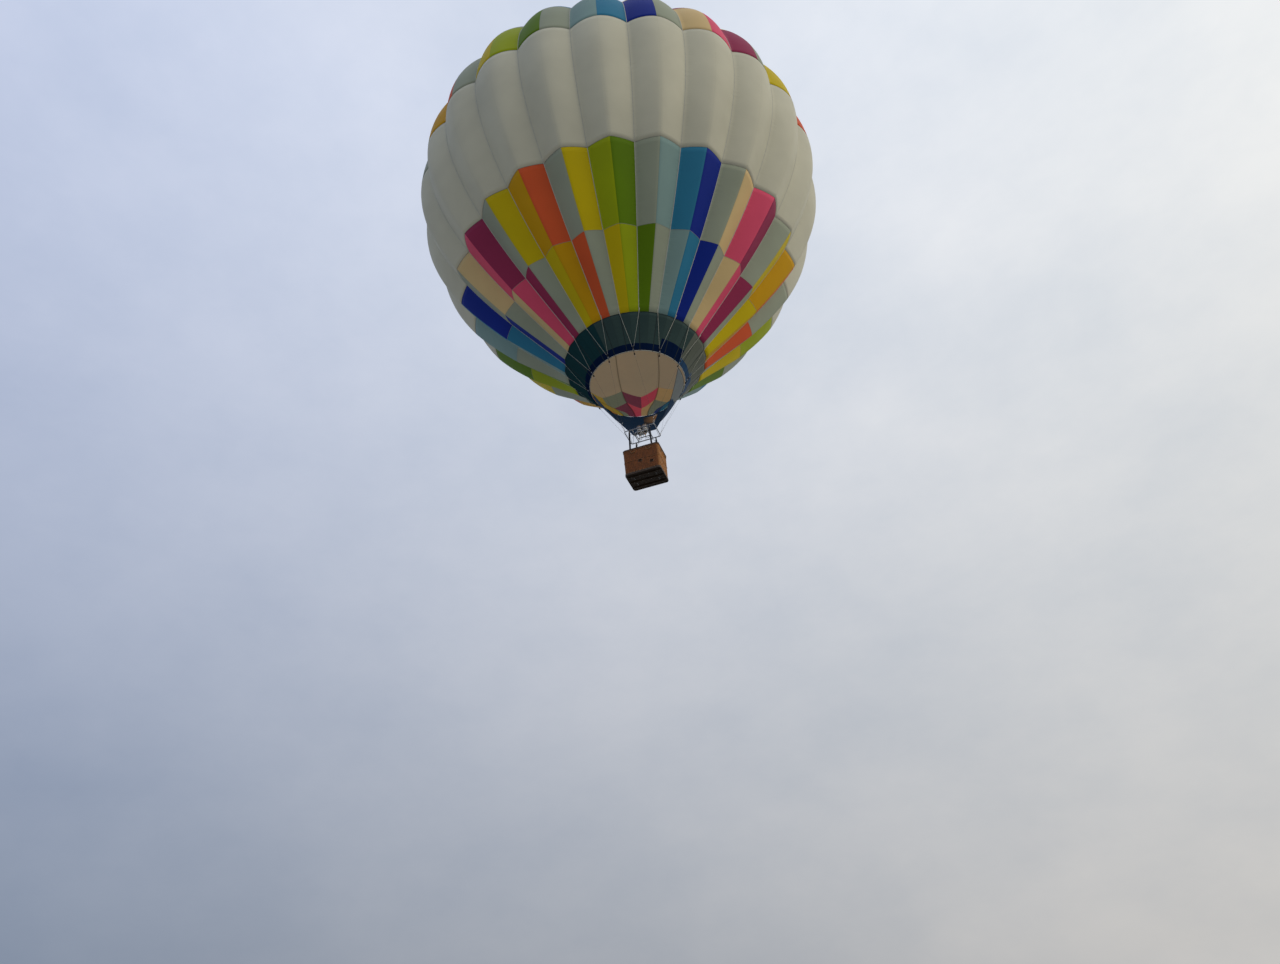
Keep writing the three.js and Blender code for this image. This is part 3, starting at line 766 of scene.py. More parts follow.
# %% Build the bands
ACROSS = 16
CLOTH_GAP = 0.006
LINED_GORES = range(9, 15)  # the throat's part that shows from inside, lined with the lower row


def shell(name, node, body, outer, inner, turns, radius, along, keys):
    """Two layers of cloth; each face has a key of its colour and of the side that it shows."""
    across = np.mod(turns, 1.0)
    width = (radius * ROUND / GORES)[:, None]
    points = np.concatenate([outer, inner[::-1]])
    faces = grid_faces(*points.shape[:2], wrap_rows=True)
    layers = {}
    to_tape = np.minimum(across, 1 - across) * width
    for layer, distance, start in (("tape", to_tape, 0), ("middle", width / 2 - to_tape, 50)):
        flat = np.stack(np.broadcast_arrays(distance, along[:, None] + start), axis=-1)
        layers[layer] = np.concatenate([flat, flat[::-1]]).reshape(-1, 2)[faces]
    used = list(dict.fromkeys(keys))
    make_piece(
        name, body, (node,), points.reshape(-1, 3), faces.tolist(),
        [cloth_finish(*key) for key in used], [used.index(key) for key in keys], layers,
    )


def band(name, node, slot, rows):
    """rows: (colour row, lower height, upper height, grid steps)"""
    lengths = [length_at(rows[0][1])]
    outside = []
    for row, low, high, steps in rows:
        lengths.extend(np.linspace(length_at(low), length_at(high), steps + 1)[1:])
        outside.extend([row] * steps)
    lengths = np.array(lengths)
    turns = np.arange(GORES * ACROSS) / ACROSS
    strips = [(row, False) for row in (*outside, outside[-1])]
    strips += [(row, True) for row in (*outside[::-1], outside[0])]
    keys = []
    for row, inside in strips:
        for half in np.arange(len(turns)) // (ACROSS // 2):
            lined = inside and row in THROAT_ROWS and half // 2 in LINED_GORES
            keys.append((panel_colour("lower" if lined else row, half), inside))
    outer, inner = (cloth_points(lengths[:, None], turns, lift) for lift in (0.0, -CLOTH_GAP))
    radius = np.interp(lengths, LENGTHS, RADII)
    shell(name, node, "balloon", outer, inner, turns, radius, lengths, keys)


BANDS = (
    ("crown_cloth", "envelope_crown", "envelope_white", (
        ("white", SHOULDER, VENT_EDGE, 18),
    )),
    ("upper_colour_cloth", "envelope_upper_band", "envelope_colours", (
        ("first", COLOUR_SEAM, UPPER_ROW_SEAM, 12),
        ("second", UPPER_ROW_SEAM, SHOULDER, 14),
    )),
    ("white_cloth", "envelope_white_band", "envelope_white", (
        ("white", LOWER_WHITE_SEAM, COLOUR_SEAM, 28),
    )),
    ("lower_colour_cloth", "envelope_colour_band", "envelope_colours", (
        ("lower", THROAT_SEAM, ROW_SEAM, 14),
        ("upper", ROW_SEAM, LOWER_WHITE_SEAM, 16),
    )),
    ("throat_cloth", "throat_band", "throat_fabric", (
        ("hem", MOUTH, MOUTH + 0.12, 2),
        ("strip", MOUTH + 0.12, MOUTH + 0.25, 2),
        ("upper_strip", MOUTH + 0.25, MOUTH + 0.40, 2),
        ("tall_strip", MOUTH + 0.40, MOUTH + 0.48, 1),
        ("throat", MOUTH + 0.48, THROAT_SEAM, 6),
    )),
)
for entry in BANDS:
    band(*entry)

# %% [markdown]
# ## Load tapes
#
# The load tapes carry everything. Each is a strip of pale webbing sewn on from the mouth to
# the crown, and the cloth is pushed out on both sides of it, so a tape lies in a valley and
# bends with it. Narrower tapes run round the balloon on every seam between two rows.

# %% Sew on the tapes
TAPE_HALF = 0.0125
TAPE_UNDER, TAPE_EDGE, TAPE_LIFT = 0.0015, 0.004, 0.006
SEAM_TAPE = 0.014


def load_tapes():
    build = Build()
    seam = length_at(THROAT_SEAM)
    top = ((-1, TAPE_EDGE), (0, TAPE_LIFT), (1, TAPE_EDGE))
    section = ((-1, TAPE_UNDER), *top, (1, TAPE_UNDER), (0, TAPE_UNDER))
    for low, high, steps, finish in (
        (0.004, seam - 0.001, 12, THROAT_TAPE),
        (seam + 0.001, length_at(VENT_EDGE) + 0.05, 100, PALE_TAPE),
    ):
        lengths = np.linspace(low, high, steps)
        half = TAPE_HALF * GORES / (ROUND * np.interp(lengths, LENGTHS, RADII))
        for tape in range(GORES):
            loops = [cloth_points(lengths, tape + side * half, lift) for side, lift in section]
            build.grid(np.stack(loops, axis=1), finish)
    build.piece("load_tapes", "balloon", "load_tape")


def ring_tape(build, height, half, lift, finish, across=ACROSS):
    turns = np.arange(GORES * across) / across
    loops = [
        cloth_points(length_at(height) + side * half, turns, rise)
        for side, rise in ((-1, 0.001), (-1, lift), (1, lift), (1, 0.001))
    ]
    build.grid(np.stack(loops, axis=1), finish, wrap_rows=True)


load_tapes()
seam_tapes = Build()
for height in (SHOULDER, UPPER_ROW_SEAM, COLOUR_SEAM, LOWER_WHITE_SEAM, ROW_SEAM):
    ring_tape(seam_tapes, height, SEAM_TAPE / 2, 0.003, SEAM_WEB)
ring_tape(seam_tapes, THROAT_SEAM, 0.010, 0.003, THROAT_TAPE)
seam_tapes.piece("seam_tapes", "balloon", "load_tape")
mouth_hem = Build()
ring_tape(mouth_hem, MOUTH + 0.013, 0.011, 0.004, PALE_TAPE, ACROSS // 2)
mouth_hem.piece("mouth_hem", "balloon", "throat_fabric")

# %% [markdown]
# ## Parachute vent and crown
#
# The top of the envelope is open. A round panel, the parachute, is pressed up against this
# opening from inside, and the pilot pulls it down to let hot air out. It is cut in 24 panels
# like the envelope and puffs up a little between the tapes that cross it.

# %% The vent panel
VENT_RADIUS = 2.75
VENT_MIDDLE = 0.05
VENT_DROP = 0.045
VENT_PUFF = 0.016
VENT_RINGS = 22
VENT_ACROSS = 8
PATCH_RADIUS = 0.130
PATCH_HOLE = 0.046


def crown_height_at(radius):
    cosine = np.clip(np.asarray(radius, float) / EQUATOR, 0, 1) ** (FULLNESS / 2)
    return CROWN_HEIGHT * np.sqrt(1 - cosine ** 2) ** (2 / FULLNESS)


def vent_panel():
    radius = np.linspace(VENT_RADIUS, VENT_MIDDLE, VENT_RINGS)
    turns = np.arange(GORES * VENT_ACROSS) / VENT_ACROSS
    across = np.abs(2 * np.mod(turns, 1.0) - 1)
    puff = VENT_PUFF * (radius / VENT_RADIUS)[:, None] * (1 - across ** 2)
    height = crown_height_at(radius)[:, None] - VENT_DROP + puff
    top = around(radius[:, None], FIRST_TAPE + turns * 360 / GORES, height)
    under = top - Z * CLOTH_GAP
    sides = np.repeat(np.arange(2 * VENT_RINGS) >= VENT_RINGS - 1, len(turns))
    keys = [("white", bool(inside)) for inside in sides]
    shell(
        "parachute_vent_cloth", "parachute_vent", "vent", top, under, turns,
        radius, radius, keys,
    )


def vent_centre():
    """A sewn patch with the steel ring that the vent line pulls on."""
    build = Build()
    centre = Z * (float(crown_height_at(VENT_MIDDLE)) - VENT_DROP)
    build.hollow(PATCH_HOLE, PATCH_RADIUS, -0.008, 0.002, PALE_TAPE, centre, sides=48)
    build.ring(centre, X, Y, PATCH_HOLE, 0.006, STAINLESS, 32, 12)
    build.piece("vent_centre", "vent", "envelope_white")


vent_panel()
vent_centre()

# %% [markdown]
# ## Scoop
#
# The scoop is a sheet of dark cloth that hangs from the rear half of the mouth and leads wind
# and the burner's heat into it. It is clipped to the mouth at the tapes and pulled down to the
# burner frame at its four foot corners, so its long edges are straight and its face is taut. A
# panel of tan heat-proof cloth is sewn in behind the burner.

# %% Cloths of the scoop
LIGHT_THROUGH_SCOOP = 0.25
DARKER_SIDE = (-0.36, 0.10)
DARKER_LEVELS = (-12.62, -12.10)


def plain_cloth(name, colour, light_through):
    graph = Graph(name)
    place = graph.place()
    creases = graph.noise(graph.stretched(place, 3.0, 3.0, 0.8), 1.0, 3.0, 0.55) - 0.5
    threads = graph.noise(place, 220.0, 1.0)
    graph.set(
        Base_Color=graph.mix(creases.ramp(-0.15, 0.25), colour, scaled(colour, 0.8, 0.009)),
        Roughness=threads * 0.12 + 0.55,
        Specular_IOR_Level=0.05,
        Emission_Color=light_through,
        Emission_Strength=LIGHT_THROUGH_SCOOP,
    )
    graph.bump(creases * 2.0 + threads * 0.05, 0.02, 0.8)
    return graph.owner


def heat_cloth():
    """Tan heat-proof cloth, darker towards one side and towards its lower edge."""
    graph = Graph("scoop_heat_cloth")
    place = graph.place()
    to_side = graph.part_of(place, 0).ramp(*DARKER_SIDE, 0.75, 0.0)
    to_edge = graph.part_of(place, 2).ramp(*DARKER_LEVELS, 0.6, 0.0)
    # A darker tone towards one side, towards the lower edge, and in noisy patches
    darkening = graph.noise(place, 3.2, 3.0, 0.6) * 0.5 + to_side + to_edge
    darkening = darkening.ramp(0.25, 0.95, 0.0, 0.9)
    threads = graph.noise(place, 220.0, 1.0)
    graph.set(
        Base_Color=graph.mix(darkening, (0.27, 0.150, 0.070), (0.022, 0.022, 0.026)),
        Roughness=threads * 0.1 + 0.6,
        Specular_IOR_Level=0.1,
        Emission_Color=graph.mix(darkening, (0.30, 0.155, 0.075), (0.020, 0.024, 0.030)),
        Emission_Strength=LIGHT_THROUGH_SCOOP,
    )
    graph.bump(threads, 0.001, 0.4)
    return graph.owner


SCOOP_CLOTHS = (
    plain_cloth("scoop_navy_cloth", (0.004, 0.014, 0.038), (0.010, 0.040, 0.090)),
    plain_cloth("scoop_grey_cloth", (0.15, 0.17, 0.175), (0.02, 0.022, 0.024)),
    heat_cloth(),
)

# %% The scoop's sheet
FRAME_LEVEL = -14.0
SCOOP_START = 79  # degrees from the front
SCOOP_TOP = {"radius": 1.835, "height": MOUTH - 0.095}
SCOOP_FOOT = {"x": 0.455, "y": 0.345, "height": FRAME_LEVEL + 0.35}
SCOOP_BILLOW = {"edge": 0.27, "middle": 0.10}
SCOOP_THICKNESS = 0.003
SCOOP_COLUMNS = 80
SCOOP_ROWS = 28


def scoop_points(across, down, lift=0.0):
    across, down = np.broadcast_arrays(np.asarray(across, float), np.asarray(down, float))
    angle = SCOOP_START + across * (360 - 2 * SCOOP_START)
    top = around(SCOOP_TOP["radius"], angle, SCOOP_TOP["height"])
    foot_x = SCOOP_FOOT["x"] * (1 - 2 * across)
    foot = np.stack(np.broadcast_arrays(foot_x, SCOOP_FOOT["y"], SCOOP_FOOT["height"]), axis=-1)
    away = unit(around(1.0, angle, 0.0) * (1 - down[..., None]) + Y * down[..., None])
    near_edge = (2 * across - 1) ** 2
    billow = SCOOP_BILLOW["middle"] + (SCOOP_BILLOW["edge"] - SCOOP_BILLOW["middle"]) * near_edge
    between = np.sin(np.radians((angle - FIRST_TAPE) * GORES / 2)) ** 2
    folds = 0.012 * np.sin(across * 88.0) * down ** 2 + 0.006 * np.sin(across * 41.0 + down * 5.0)
    point = top + (foot - top) * down[..., None]
    point = point + away * (lift + folds * np.sin(np.pi * down) ** 0.5)[..., None]
    point[..., 1] += billow * np.sin(np.pi * down)
    point[..., 2] += (0.022 - 0.012 * between) * (1 - down) ** 3
    return point


def scoop_finish(across, down):
    """0 is the navy sheet, 1 its grey corner and 2 the heat-proof panel."""
    if 0.455 <= across < 0.560 and 0.10 <= down < 0.46:
        return 2
    return int(across < 0.22 and down < 0.42 - 0.6 * across)


def scoop_sheet():
    across = np.linspace(0, 1, SCOOP_COLUMNS + 1)
    down = np.linspace(0, 1, SCOOP_ROWS + 1)
    outer = scoop_points(across[:, None], down, SCOOP_THICKNESS)
    inner = scoop_points(across[:, None], down[::-1])
    build = Build()
    build.grid(np.concatenate([outer, inner], axis=1), SCOOP_CLOTHS[0])
    build.materials.extend(SCOOP_CLOTHS[1:])
    both_ways = (*down, *down[::-1])
    sheet = [scoop_finish(column, row) for column in across[:-1] for row in both_ways]
    build.indexes[:len(sheet)] = sheet
    corner = outer[:-1, :-1]
    area = np.linalg.norm(np.cross(outer[1:, :-1] - corner, outer[:-1, 1:] - corner), axis=-1).sum()
    print("scoop cloth", round(float(area), 2), "square metres")
    return build.piece("scoop_cloth", "balloon", "scoop_fabric", "scoop")


scoop_sheet()

# %% [markdown]
# ## Hem and ties of the scoop
#
# Webbing is sewn round the sheet. Short ties clip it to the mouth at each load tape, and elastic
# ties hold its foot to the burner frame.

# %% Hem and ties
LEVEL = np.array((1, 1, 0))  # keeps the level part of a direction


def scoop_hem():
    build = Build()
    steps = np.linspace(0, 1, 60)
    for across in (0.0, 1.0):
        path = scoop_points(across, steps, SCOOP_THICKNESS / 2)
        build.strap(path, 0.030, 0.006, NAVY_TAPE, normal=path[0] * LEVEL)
    for down in (0.0, 1.0):
        path = scoop_points(np.linspace(0, 1, 160), down, SCOOP_THICKNESS / 2)
        build.strap(path, 0.026, 0.006, NAVY_TAPE, normal=Y if down else path[0] * LEVEL)
    for tape in range(GORES):
        angle = FIRST_TAPE + tape * 360 / GORES
        if SCOOP_START <= angle <= 360 - SCOOP_START:
            foot = scoop_points((angle - SCOOP_START) / (360 - 2 * SCOOP_START), 0.0)
            head = around(1.890, angle, MOUTH + 0.004)
            path = [foot, (foot + head) / 2, head]
            build.strap(path, 0.016, 0.003, PALE_TAPE, normal=head * LEVEL)
    build.piece("scoop_hem", "balloon", "scoop_fabric")


def foot_ties():
    build = Build()
    for across in (0.0, 0.25, 0.5, 0.75, 1.0):
        foot = scoop_points(across, 1.0)
        head = np.array((foot[0] * 1.16, 0.4, FRAME_LEVEL + 0.019))
        build.tube([foot, head], 0.005, BLACK_WEB, 8)
        build.ring(foot, X, unit(head - foot), 0.012, 0.003, BRASS, 14, 6)
        build.ring(head - Z * 0.019, Y, Z, 0.024, 0.004, BLACK_WEB, 16, 6)
    build.piece("scoop_foot_ties", "balloon", "scoop_fabric")


scoop_hem()
foot_ties()

# %% [markdown]
# ## Flying wires
#
# Two load tapes share one ring at the mouth, through two webbing legs that leave the tapes at the
# top of the throat. From each ring a wire goes down to a corner of the burner frame, three wires
# to a corner, and a karabiner joins them to the frame. Pressed sleeves close the wire's eyes, and
# a padded cover keeps the link below each ring from rubbing the cloth.

# %% Wires and karabiners
FRAME_HALF = np.array((0.6, 0.4))
RING_RADIUS = 1.99
RING_LEVEL = MOUTH - 0.004
RING_SIZE = 0.022
WIRE_RADIUS = 0.0028
LINK_HALF = np.array((0.030, 0.050))
LUG_RISE = 0.064
LUG_SIDE = 0.015
LEG_START = 0.025
LEG_WIDTH = 0.013
HALF_GORE = 180 / GORES
CORNERS = ((1, 1, -1, 15), (2, 1, 1, 105), (3, -1, 1, 195), (4, -1, -1, 285))
LINK_COVER = ((0.008, 0), (0.024, 0.014), (0.027, 0.045), (0.024, 0.076), (0.008, 0.092))
GATE = ((0.0055, -0.026), (0.0080, -0.024), (0.0080, 0.010), (0.0070, 0.012), (0.0055, 0.014))


def corner_axes(side_x, side_y, first_angle):
    """The karabiner's anchor, the wires' pull, and two directions square to the pull."""
    flat = (FRAME_HALF - LUG_SIDE) * (side_x, side_y)
    anchor = np.array((*flat, FRAME_LEVEL + LUG_RISE))
    pull = unit(around(RING_RADIUS, first_angle + 30, RING_LEVEL) - anchor)
    across = unit(np.cross(Z, pull))
    return anchor, pull, across, np.cross(across, pull)


def leg_top():
    length = length_at(THROAT_SEAM)
    out, rise = (np.interp(length, LENGTHS, values) * LEG_START for values in NORMALS.T)
    return np.interp(length, LENGTHS, RADII) + out, THROAT_SEAM + rise


def sleeve(build, start, end, place, length, radius, finish):
    """A pressed sleeve round a wire, a little way along it."""
    way = unit(end - start)
    ends = ((0.6, 0), (1, 0.15), (1, 0.85), (0.6, 1))
    build.turned(np.array(ends) * (radius, length), finish, start + way * place, way, 12)


def flying_wires(number, side_x, side_y, first_angle):
    anchor, pull, _, out = corner_axes(side_x, side_y, first_angle)
    build = Build()
    eye = anchor + pull * (2 * LINK_HALF[1] + 0.004)
    build.ring(eye, pull, out, 0.016, 0.005, STAINLESS)
    foot = eye + pull * 0.016
    radius, height = leg_top()
    for step in range(3):
        angle = first_angle + 30 * step
        centre = around(RING_RADIUS, angle, RING_LEVEL)
        up = unit(around(radius * math.cos(math.radians(HALF_GORE)), angle, height) - centre)
        sideways = around(1.0, angle + 90, 0.0)
        build.ring(centre, sideways, up, RING_SIZE, 0.006, GALVANISED)
        top = centre - up * RING_SIZE
        way = unit(foot - top)
        tab = [top, top + way * 0.125]
        build.strap(tab, 0.022, 0.004, BLACK_WEB, normal=np.cross(way, sideways))
        build.tube([top + way * 0.12, foot], WIRE_RADIUS, WIRE, 8)
        build.turned(LINK_COVER, BLACK_WEB, top + way * 0.110, way, 16)
        sleeve(build, top, foot, 0.215, 0.05, 0.009, GALVANISED)
        sleeve(build, foot, top, 0.05 + 0.06 * step, 0.05, 0.009, GALVANISED)
        for side in (-1, 1):
            start = around(radius, angle + side * HALF_GORE, height)
            way = unit(start - centre)
            near = centre + way * RING_SIZE
            square = np.cross(way, sideways)
            build.strap([near, start], LEG_WIDTH, 0.005, PALE_TAPE, normal=square)
            sewn = [start - way * 0.12, start + way * 0.16]
            build.strap(sewn, LEG_WIDTH + 0.010, 0.009, PALE_TAPE, normal=square)
            sleeve(build, near, start, 0.006, 0.09, 0.015, BLACK_WEB)
    build.piece(f"wires_{number}", "balloon", "wire", f"flying_wires_{number}")


def karabiner(number, side_x, side_y, first_angle):
    anchor, pull, across, out = corner_axes(side_x, side_y, first_angle)
    centre = anchor + pull * LINK_HALF[1]
    path = centre + outline(*LINK_HALF, 0.028, 8) @ np.stack([across, pull])
    build = Build()
    build.tube(path, 0.005, STAINLESS, 12, True, out)
    build.turned(GATE, GALVANISED, centre + across * LINK_HALF[0], pull, 18)
    build.piece(f"link_{number}", "balloon", "karabiner", f"karabiner_{number}")


for corner in CORNERS:
    flying_wires(*corner)
    karabiner(*corner)

# %% [markdown]
# ## Burner frame
#
# A hoop of steel tube carries two cross beams, and the burner tilts between them. The tube is
# swept along a rounded rectangle. Plates with a round eye stand at its corners for the
# karabiners, and four short sleeves hold the heads of the nylon uprights.

# %% Frame hoop, beams, lugs and sleeves
FRAME_TUBE = 0.019
FRAME_CORNER = 0.06
BEAM_X = 0.29
BEAM_TUBE = 0.016
RIM_LEVEL = FRAME_LEVEL - 1.0
FLOOR_LEVEL = RIM_LEVEL - 1.135
POLE_FOOT = np.array((0.430, 0.415, RIM_LEVEL - 0.150))
POLE_HEAD = np.array((0.400, 0.400, FRAME_LEVEL - 0.030))
CENTRE = Z * FRAME_LEVEL


def pole_point(height, side_x, side_y):
    share = (height - POLE_FOOT[2]) / (POLE_HEAD[2] - POLE_FOOT[2])
    return (POLE_FOOT + (POLE_HEAD - POLE_FOOT) * share) * (side_x, side_y, 1)


def beam(build, side):
    """Two halves of a cross beam, with the housing of the gimbal's pin between them."""
    middle = CENTRE + X * side * BEAM_X
    for end in (-1, 1):
        reach = [middle + Y * end * 0.026, middle + Y * end * 0.392]
        build.tube(reach, BEAM_TUBE, PAINTED_TUBE, 16)
        build.disc(0.020, 0.012, PAINTED_TUBE, middle + Y * (end * 0.372 - 0.006), Y, 16)
    build.hollow(0.009, 0.030, -0.018, 0.018, PAINTED_TUBE, middle, X, 28)
    build.bolt(middle + Z * 0.029, Z, 0.006, GALVANISED)


def load_frame():
    build = Build()
    hoop = at_level(outline(*FRAME_HALF, FRAME_CORNER, 8), FRAME_LEVEL)
    build.tube(hoop, FRAME_TUBE, PAINTED_TUBE, 18, True)
    for side in (-1, 1):
        beam(build, side)
    for _, side_x, side_y, first_angle in CORNERS:
        anchor, pull, across, out = corner_axes(side_x, side_y, first_angle)
        build.hollow(0.012, 0.022, -0.005, 0.005, GALVANISED, anchor, across, 28)
        turn = np.stack([across, out, pull], axis=1)
        build.block((0.010, 0.044, 0.046), GALVANISED, anchor - pull * 0.038, turn, 0.002)
        top, foot = (pole_point(FRAME_LEVEL - drop, side_x, side_y) for drop in (0.004, 0.110))
        way = unit(foot - top)
        length = np.linalg.norm(foot - top)
        wall = [(0.0168, 0), (0.026, 0), (0.026, length - 0.012), (0.029, length - 0.010),
                (0.029, length), (0.0168, length)]
        build.turned(wall, PAINTED_TUBE, top, way, 24, True)
        build.bolt(top + way * 0.07 + X * side_x * 0.026, X * side_x, 0.005, GALVANISED)
    build.piece("frame_tubes", "balloon", "frame_steel", "load_frame")


load_frame()

# %% [markdown]
# ## Gimbal ring
#
# The burner hangs in a ring, so that the pilot can point the flame into the mouth. The ring
# turns about its two pins in the frame, and the burner turns in the ring about two more pins.

# %% Gimbal ring
GIMBAL_HALF = (0.24, 0.19)


def gimbal_ring():
    build = Build()
    path = at_level(outline(*GIMBAL_HALF, 0.04, 6), FRAME_LEVEL)
    build.sweep(path, outline(0.015, 0.012, 0.003, 2), GALVANISED, True)
    for side in (-1, 1):
        way = X * side
        pin = [CENTRE + way * 0.228, CENTRE + way * (BEAM_X + 0.026)]
        build.tube(pin, 0.008, STAINLESS, 16)
        build.disc(0.016, 0.010, BRASS, CENTRE + way * 0.252, way)
        build.disc(0.012, 0.006, BRASS, CENTRE + way * (BEAM_X + 0.019), way)
    build.piece("gimbal_hoop", "gimbal", "frame_steel", "gimbal_ring")


gimbal_ring()

# %% [markdown]
# ## Burners
#
# Each of the two burners is a can of sheet steel with slots. Inside it the fuel runs through a
# coil of tube in the flame, which turns it to gas, and comes out of a ring of jets. Below sits
# the valve block, with a long lever for each burner, and a gauge for the pressure.

# %% Valve block
CAN_X = 0.110
CAN_RADIUS = 0.100
CAN_WALL = 0.003
CAN_FOOT = FRAME_LEVEL + 0.060
CAN_TOP = CAN_FOOT + 0.330
VALVE = ((0.020, -0.025), (0.022, -0.030), (0.022, -0.060), (0.017, -0.064), (0.017, -0.084),
         (0.010, -0.090))
PLUG = ((0.010, 0), (0.010, 0.014), (0.006, 0.020))
UNION = ((0.009, 0), (0.009, 0.010), (0.011, 0.011), (0.011, 0.022), (0.007, 0.024))
GAUGE = ((0.006, 0.014), (0.021, 0.016), (0.021, 0.026), (0.018, 0.028))


def lever_and_gauge(build, side):
    under = CENTRE + X * side * CAN_X
    build.turned(VALVE, BRASS, under, Z, 24)
    lever = under + np.array(((0, 0, -0.078), (0, -0.045, -0.080), (0, -0.130, -0.092)))
    build.tube(lever, 0.0055, STAINLESS, 10)
    grip = [lever[1], lever[1] * 0.3 + lever[2] * 0.7, lever[2]]
    build.tube(grip, (0.007, 0.010, 0.008), RED_GRIP if side > 0 else BLUE_GRIP, 14)
    build.turned(PLUG, BRASS, under + X * side * 0.040, X * side, 16)
    gauge = CENTRE + (side * 0.060, -0.045, 0.004)
    build.tube([gauge, gauge - Y * 0.014], 0.005, BRASS, 10)
    build.turned(GAUGE, STAINLESS, gauge, -Y, 28)
    build.disc(0.0175, 0.002, DIAL_FACE, gauge - Y * 0.0265, -Y, 28)
    needle = gauge - Y * 0.029
    build.tube([needle, needle + (side * 0.006, 0, 0.010)], 0.0008, RED_GRIP, 6)


def valve_block():
    build = Build()
    build.block((0.300, 0.090, 0.050), PAINTED_TUBE, CENTRE, edge=0.005)
    build.tube([CENTRE - Y * 0.206, CENTRE + Y * 0.206], 0.008, STAINLESS, 16)
    for side in (-1, 1):
        build.disc(0.014, 0.008, BRASS, CENTRE + Y * side * 0.045, Y * side)
        lever_and_gauge(build, side)
        for fore in (-1, 1):
            build.bolt(CENTRE + (side * 0.135, fore * 0.030, 0.025), Z, 0.005, STAINLESS)
            build.turned(UNION, BRASS, CENTRE + (side * 0.085, fore * 0.045, -0.010), Y * fore, 6)
    build.piece("valve_block", "burners", "burner_block", "burner_manifold")


valve_block()

# %% Cans, coils and jets
SLOTS = 16
SLOT_HEIGHTS = (0.080, 0.215)
JETS = 12
COILS = ((0.084, 0.075, 0.318, 10, 0), (0.066, 0.085, 0.300, 9, 180))
PILOT_CUP = ((0.0065, 0.085), (0.013, 0.092), (0.013, 0.118), (0.011, 0.118), (0.011, 0.096))


def curved_bars(build, spans, inner, outer, levels, base, finish):
    """Upright bars of sheet metal round an axis; a span lists the angles across one bar."""
    for span in spans:
        angle = np.radians(span)
        flat = np.stack([np.cos(angle), np.sin(angle)], axis=1)
        ring = np.concatenate([flat * outer, flat[::-1] * inner])
        build.grid(np.asarray([at_level(ring, level) for level in levels]) + base, finish)


def can_body(build, base):
    thin = CAN_RADIUS - CAN_WALL
    top = CAN_TOP - CAN_FOOT
    build.hollow(0.060, CAN_RADIUS, 0, 0.012, STAINLESS, base, Z, 48)
    build.hollow(thin, CAN_RADIUS, 0.012, SLOT_HEIGHTS[0], STAINLESS, base, Z, 48)
    build.hollow(thin, CAN_RADIUS, SLOT_HEIGHTS[1], top - 0.006, HEATED, base, Z, 48)
    build.hollow(thin - 0.002, CAN_RADIUS + 0.002, top - 0.006, top, HEATED, base, Z, 48)
    spans = np.arange(SLOTS)[:, None] * 360 / SLOTS + np.array((-6.5, -2.2, 2.2, 6.5))
    curved_bars(build, spans, thin, CAN_RADIUS, SLOT_HEIGHTS, base, STAINLESS)
    for spoke in np.radians((90, 210, 330)):  # three arms hold the ring of jets
        reach = np.array((np.cos(spoke), np.sin(spoke), 0))
        start = base + Z * 0.006
        build.tube([start + reach * 0.015, start + reach * 0.064], 0.006, STAINLESS)


def burner_can(number, side):
    build = Build()
    base = np.array((side * CAN_X, 0, CAN_FOOT))
    neck = [(0.026, FRAME_LEVEL + 0.0255 - CAN_FOOT), (0.026, 0), (0.018, 0.01)]
    build.turned(neck, BRASS, base, Z, 24)
    can_body(build, base)
    for radius, low, high, turns, start in COILS:
        share = np.linspace(0, 1, turns * 18)
        angle = np.radians(start) + share * turns * ROUND
        coil = [radius * np.cos(angle), radius * np.sin(angle), low + (high - low) * share]
        build.tube(np.column_stack(coil) + base, 0.0058, HEATED, 8)
    build.ring(base + Z * 0.045, X, Y, 0.040, 0.007, BRASS, 28)
    for flat in circle(JETS):
        place = base + (*(0.040 * flat), 0.050)
        build.turned([(0.004, 0), (0.004, 0.008), (0.002, 0.012)], BRASS, place, Z, 8)
    for feed in (-1, 1):
        path = np.array(((0.012, 0, -0.01), (0.030, 0, 0.02), (0.040, 0, 0.040))) * (feed, 1, 1)
        build.tube(path + base, 0.005, BRASS)
    pilot = base + Y * 0.018
    build.tube([pilot, pilot + Z * 0.085], 0.0055, STAINLESS, 12)
    build.turned(PILOT_CUP, HEATED, pilot, Z, 20)
    build.piece(f"burner_{number}", "burners", "burner_steel", f"burner_can_{number}")


for number, side in ((1, 1), (2, -1)):
    burner_can(number, side)

# %% [markdown]
# ## How padding swells
#
# Foam under cloth pushes outwards until the cloth is tight, except where a tie or a stitch holds
# it. Blender's cloth simulation finds that shape: it starts a few millimetres inside the finished
# size with slightly too much cloth, holds the tied rows, and lets pressure work for 20 frames
# without gravity. How far a point may move is capped, so the pad stays clear of its neighbours.
# The result replaces the mesh. It's the same each run, as nothing in it is random.

# %% Swelling by cloth simulation
SWELL_FRAMES = 20
CLOTH_SETTINGS = {
    "quality": 6, "mass": 0.15, "tension_stiffness": 30, "compression_stiffness": 8,
    "shear_stiffness": 8, "bending_stiffness": 0.2, "use_pressure": True,
    "uniform_pressure_force": 4.0, "vertex_group_mass": "held", "shrink_min": -0.05,
}


def point_places(mesh):
    places = np.empty(len(mesh.vertices) * 3)
    mesh.vertices.foreach_get("co", places)
    return places.reshape(-1, 3)


